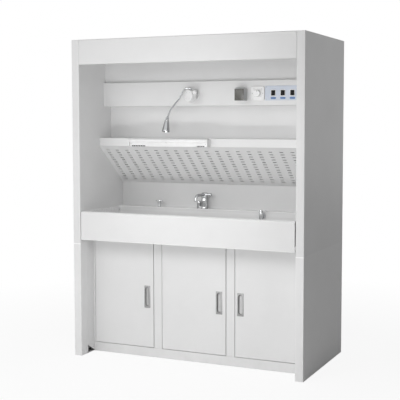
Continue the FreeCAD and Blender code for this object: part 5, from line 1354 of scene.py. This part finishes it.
class WORKSTATION_OT_bar_lamp(bpy.types.Operator):
    """Dress the bar lamp: ribbed diffuser, black blocks as painted shade in its vent slits, and screws"""

    bl_idname = "workstation.bar_lamp"
    bl_label = "Bar lamp"

    def execute(self, context):
        low, high = node_box("bar_lamp_body")
        tube_low, tube_high = node_box("bar_lamp_tube")
        self.make_diffuser(tube_low, tube_high)
        lower_y = high.y - BAR_LOWER_DEEP
        # Black blocks in the vent slits: painted shade inside the slits
        for start, long in BAR_SLOTS:
            left = low.x + start
            shape = bmesh.new()
            count = max(3, int(long / BAR_SLIT_PITCH))
            for index in range(count):
                x = left + long * (index + 0.5) / count
                add_box(shape, (x - 0.0011, lower_y + 0.0012, low.z + 0.0008),
                        (x + 0.0011, lower_y + 0.0110, low.z + 0.0078), 0.0004, 1)
            name = "bar_lamp_slit_bars_" + str(int(start * 1000))
            put(name, shape, 30, ROOT_BODY, "black_plastic")
        for index, x in enumerate((low.x + 0.012, low.x + 0.020, high.x - 0.016)):
            spot = Vector((x, lower_y, low.z + 0.016))
            name = "bar_lamp_screw_" + str(index + 1)
            pan_screw(name, spot, FORWARD, 0.3 + index, SMALL_SCREWS["bar_lamp"])
        return {"FINISHED"}

    def make_diffuser(self, low, high):
        """The rounded diffuser with fine lengthways ribs."""
        tall = high.z - low.z
        corner = min(BAR_TUBE_R, tall * 0.48)
        outline = [(high.y, low.z), (low.y + corner, low.z)]
        outline += self.ribbed_corner(low.y + corner, low.z + corner, corner, math.pi * 1.5)
        flat = 10
        for step in range(1, flat):
            outline.append((low.y + self.rib(step), low.z + corner + (tall - 2 * corner) * step / flat))
        outline += self.ribbed_corner(low.y + corner, high.z - corner, corner, math.pi)
        outline.append((high.y, high.z))
        xs = [low.x, low.x + 0.0008] + [low.x + (high.x - low.x) * part / 12 for part in range(1, 12)]
        xs += [high.x - 0.0008, high.x]
        loops = []
        for index, x in enumerate(xs):
            pull = 0.0006 if index in (0, len(xs) - 1) else 0.0
            loops.append([Vector((x, y + pull * (y < high.y), z)) for y, z in outline])
        put_loops("bar_lamp_diffuser", loops, 50, ROOT_BODY, "diffuser", "bar_lamp_tube")

    def rib(self, step):
        """The depth of the ribs' grooves at a step of the outline."""
        return BAR_RIB if step % 2 else 0.0

    def ribbed_corner(self, y, z, radius, start):
        """A quarter turn of the outline round a point, backwards from an angle."""
        points = []
        for step in range(13):
            angle = start - math.pi / 2 * step / 12
            reach = radius - self.rib(step)
            points.append((y + reach * math.cos(angle), z + reach * math.sin(angle)))
        return points


class WORKSTATION_OT_socket(bpy.types.Operator):
    """Mould the socket's smoked lid with its rim, window and grip"""

    bl_idname = "workstation.socket"
    bl_label = "Splash-proof socket"

    def execute(self, context):
        half = SOCKET_WIDE / 2
        xs = (SOCKET_X - half, SOCKET_X + half)
        top = SOCKET_LOW_Z + SOCKET_TALL
        front = BAND_Y - SOCKET_DEEP - SOCKET_LID_DEEP - 0.0003
        for column, x in enumerate((xs[0] + 0.0085, xs[1] - 0.0085)):
            for row, z in enumerate((SOCKET_LOW_Z + 0.0085, top - 0.0085)):
                pan_screw("socket_screw_" + str(column) + str(row), (x, BAND_Y - SOCKET_WALL - 0.004, z),
                          FORWARD, column + row * 2.8, SMALL_SCREWS["socket"])
        shape = bmesh.new()
        add_box(shape, (xs[0] + 0.012, front - 0.0014, SOCKET_LOW_Z + 0.0035),
                (xs[1] - 0.012, front + 0.0016, SOCKET_LOW_Z + 0.0085), 0.0012, 3)
        for step in range(5):
            x = SOCKET_X - 0.012 + 0.006 * step
            add_box(shape, (x - 0.0009, front - 0.0019, SOCKET_LOW_Z + 0.0042),
                    (x + 0.0009, front + 0.0004, SOCKET_LOW_Z + 0.0078), 0.0004, 2)
        put("socket_lid_grip", shape, 30, "socket_lid", "smoke")
        rings = []
        for inset, drop in ((0.0026, 0.0002), (0.0026, -0.0008), (0.0062, -0.0008), (0.0066, 0.0002)):
            base = upright_oblong(0.02, 0.024, 12)
            outline = squared_ring(base, half - inset, SOCKET_TALL / 2 - inset, 0.004)
            centre = Vector((SOCKET_X, front + drop, SOCKET_LOW_Z + SOCKET_TALL / 2))
            rings.append([centre + point for point in outline])
        shape = bmesh.new()
        stack_loops(shape, rings)
        put("socket_lid_rim", shape, 30, "socket_lid", "smoke")
        shape = bmesh.new()
        add_box(shape, (xs[0] + 0.0010, front - 0.0004, SOCKET_LOW_Z + 0.0010),
                (xs[1] - 0.0010, front + 0.0012, top - 0.0010), 0.0004, 2)
        put("socket_lid_window", shape, 30, "socket_lid", "smoke")
        return {"FINISHED"}


class WORKSTATION_OT_speed_control(bpy.types.Operator):
    """Mould the speed plate with its raised field and scale, and the fluted knob with its pointer"""

    bl_idname = "workstation.speed_control"
    bl_label = "Speed plate and knob"

    def execute(self, context):
        low, high = node_box("speed_plate")
        centre = Vector(((low.x + high.x) / 2, low.y, (low.z + high.z) / 2))
        half = (high.x - low.x) / 2
        base = upright_oblong(0.0300, 0.0301, 14)
        rings = []
        for size, corner, drop in (
                (half, 0.0030, high.y - low.y), (half, 0.0030, 0.0026), (half - 0.0006, 0.0030, 0.0012),
                (half - 0.0022, 0.0030, 0.0002), (half - 0.0080, 0.0040, 0.0),
                (half - 0.0086, 0.0044, 0.0006),
                (half - 0.0092, 0.0048, 0.0006), (half - 0.0098, 0.0050, 0.0)):
            outline = squared_ring(base, size, size, corner)
            rings.append([centre + point + Vector((0, drop, 0)) for point in outline])
        hole = [centre + point.normalized() * 0.0036 for point in base]
        rings += [hole, [point + Vector((0, high.y - low.y, 0)) for point in hole], rings[0]]
        shape = bmesh.new()
        stack_loops(shape, rings)
        bmesh.ops.remove_doubles(shape, verts=shape.verts, dist=1e-7)
        put("speed_wall_plate", shape, 40, ROOT_BODY, "white_plastic", "speed_plate")
        for side in (-1, 1):
            spot = centre + Vector((side * half * 0.78, 0.0002, 0))
            name = "speed_plate_screw_" + ("left" if side < 0 else "right")
            pan_screw(name, spot, FORWARD, 0.4, SMALL_SCREWS["speed"])
        self.mark_scale(centre)
        self.make_knob()
        return {"FINISHED"}

    def mark_scale(self, centre):
        """Short printed marks round the knob."""
        shape = bmesh.new()
        for step in range(11):
            angle = math.radians(225 - 27 * step)
            way = Vector((math.cos(angle), 0, math.sin(angle)))
            side = Vector((-way.z, 0, way.x))
            near, far = (0.0245, 0.0290) if step % 5 == 0 else (0.0255, 0.0280)
            loops = []
            for lift in (0.0, -0.00012):
                base = centre + Vector((0, lift, 0))
                loops.append([
                    base + way * run + side * wide for run, wide in (
                        (near, -0.00055), (far, -0.00055), (far, 0.00055), (near, 0.00055))])
            stack_loops(shape, loops, True)
        put("speed_scale_marks", shape, None, ROOT_BODY, "grey_plastic")

    def make_knob(self):
        """The round knob: skirt, grip flutes, dished face and a pointer groove."""
        low, high = node_box("speed_knob")
        plate_low = node_box("speed_plate")[0]
        seat = Vector(((low.x + high.x) / 2, plate_low.y, (low.z + high.z) / 2))
        radius = (high.x - low.x) / 2
        deep = plate_low.y - low.y
        flutes = sizes().knob_flutes
        rows = (
            (0.90, 0.0004, 0), (0.985, 0.0006, 0), (1.0, 0.0014, 0), (1.0, 0.0030, 0), (0.955, 0.0042, 0),
            (0.940, 0.0052, 1), (0.905, deep - 0.0035, 1), (0.880, deep - 0.0014, 0.6),
            (0.845, deep - 0.0002, 0), (0.79, deep, 0), (0.70, deep - 0.0004, 0), (0.35, deep - 0.0010, 0),
            (0.04, deep - 0.0011, 0))
        loops = fluted_loops(
            [(radius * share, height, flute) for share, height, flute in rows], flutes * 8,
            lambda angle: 0.0009 * max(0.0, math.cos(angle * flutes)) ** 0.6,
            lambda x, y, height: seat + Vector((x, -height, y)))
        shape = bmesh.new()
        stack_loops(shape, loops, True)
        add_lathe(shape, [(0.0, 0.0), (0.0030, 0.0), (0.0030, 0.0112), (0.0, 0.0112)],
                  seat + Vector((0, 0.0110, 0)), FORWARD, 24)
        put("speed_fluted_knob", shape, 35, "speed_knob", "white_plastic", "speed_knob")
        shape = bmesh.new()
        add_box(shape, seat + Vector((-0.0008, -deep - 0.00005, radius * 0.42)),
                seat + Vector((0.0008, -deep + 0.0006, radius * 0.80)), 0.0003, 2)
        put("speed_knob_pointer", shape, 30, "speed_knob", "black_plastic")


class WORKSTATION_OT_switches(bpy.types.Operator):
    """Dress the switch panel: rockers with rounded edges, label fields and corner screws"""

    bl_idname = "workstation.switches"
    bl_label = "Switch panel"

    def execute(self, context):
        low, high = node_box("control_plate")
        for side, x in zip(("left", "middle", "right"), ROCKER_XS):
            self.make_rocker(side)
            self.make_field(side, x, low.y)
        inset = 0.0075
        for index, (x, z) in enumerate((
                (low.x + inset, low.z + inset), (high.x - inset, low.z + inset),
                (high.x - inset, high.z - inset), (low.x + inset, high.z - inset))):
            pan_screw("switch_panel_screw_" + str(index + 1), (x, low.y, z), FORWARD, index * 0.7,
                      SMALL_SCREWS["switch"])
        return {"FINISHED"}

    def make_rocker(self, side):
        """The rocker of the frame with its long edges rounded."""
        shape = bmesh.new()
        shape.from_mesh(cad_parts["rocker_" + side].data)
        bmesh.ops.remove_doubles(shape, verts=shape.verts, dist=MERGE)
        bmesh.ops.dissolve_limit(shape, angle_limit=0.02, verts=shape.verts, edges=shape.edges)
        sharp = [edge for edge in shape.edges if len(edge.link_faces) == 2 and edge.calc_face_angle() > 0.5
                 and edge.calc_length() > 0.006]
        bmesh.ops.bevel(shape, geom=sharp, offset=0.0007, segments=2, affect="EDGES", profile=0.5)
        rocker = from_bmesh("rocker_face_" + side, shape, outwards=False)
        place(rocker, "rocker_" + side, finish("black_plastic"), ("rocker_" + side,))

    def make_field(self, side, x, front):
        """A raised blank label field with round ends under its switch."""
        tall = sizes().pill_tall / 2
        outline = [(py, px) for px, py in stadium_points(tall, PILL_HALF, 10)]
        loops = []
        for inset, lift in ((0.0, 0.0), (0.0, 0.0005), (0.0004, 0.0009), (0.0012, 0.0009)):
            shrink = (tall - inset) / tall
            loop = []
            for px, pz in outline:
                ex = math.copysign(PILL_HALF - tall, px) if abs(px) > PILL_HALF - tall else px
                loop.append(Vector((x + ex + (px - ex) * shrink, front - lift, PILL_Z + pz * shrink)))
            loops.append(loop)
        put_loops("label_field_" + side, loops, 30, ROOT_BODY, "panel_blue", look="pill_blue")


class WORKSTATION_OT_fixings(bpy.types.Operator):
    """Screw down the rear covers and the roof"""

    bl_idname = "workstation.fixings"
    bl_label = "Screws"

    def execute(self, context):
        high = node_box("rear_covers")[1]
        count = 0
        for x in REAR_SCREW_XS:
            for y, zs, twist in ((high.y, UPPER_SCREW_ZS, 9), (high.y - REAR_RECESS, LOWER_SCREW_ZS, 7)):
                for z in zs:
                    count += 1
                    pan_screw("rear_screw_" + str(count), (x, y, z), (0, 1, 0), x * twist + z)
        for index, (x, y) in enumerate(ROOF_SCREWS):
            pan_screw("roof_screw_" + str(index + 1), (x, y, HEIGHT), (0, 0, 1), index * 0.8)
        return {"FINISHED"}


OPERATORS = (
    WORKSTATION_OT_stage,
    WORKSTATION_OT_finishes,
    WORKSTATION_OT_baffle,
    WORKSTATION_OT_handles,
    WORKSTATION_OT_tap,
    WORKSTATION_OT_sprayer,
    WORKSTATION_OT_rinse_valve,
    WORKSTATION_OT_task_lamp,
    WORKSTATION_OT_bar_lamp,
    WORKSTATION_OT_socket,
    WORKSTATION_OT_speed_control,
    WORKSTATION_OT_switches,
    WORKSTATION_OT_fixings,
)


class WORKSTATION_PT_builder(bpy.types.Panel):
    """Lists the sizes, the colours and the steps that dress the workstation"""

    bl_idname = "WORKSTATION_PT_builder"
    bl_label = "Grossing Workstation"
    bl_space_type = "VIEW_3D"
    bl_region_type = "UI"
    bl_category = "Workstation"

    def draw(self, context):
        layout = self.layout
        for group in (context.scene.workstation_colours, context.scene.workstation_sizes):
            column = layout.column(align=True)
            for name in group.__annotations__:
                column.prop(group, name)
        column = layout.column(align=True)
        for operator in OPERATORS:
            column.operator(operator.bl_idname)


CLASSES = (FinishColours, DetailSizes) + OPERATORS + (WORKSTATION_PT_builder,)


def register():
    """Register the classes and hang their settings on the scene."""
    for item in CLASSES:
        bpy.utils.register_class(item)
    bpy.types.Scene.workstation_colours = bpy.props.PointerProperty(
        type=FinishColours, name="Colours", description="Colours of the finishes")
    bpy.types.Scene.workstation_sizes = bpy.props.PointerProperty(
        type=DetailSizes, name="Detail sizes", description="Sizes of the small forms")


def unregister():
    """Take the settings and the classes away again."""
    del bpy.types.Scene.workstation_sizes
    del bpy.types.Scene.workstation_colours
    for item in reversed(CLASSES):
        bpy.utils.unregister_class(item)


def main():
    """Run every step in order, and keep the two boxes."""
    register()
    for operator in OPERATORS:
        group, name = operator.bl_idname.split(".")
        result = getattr(getattr(bpy.ops, group), name)()
        if result != {"FINISHED"}:
            raise RuntimeError(operator.bl_label + " did not finish")


if __name__ == "__main__":
    main()
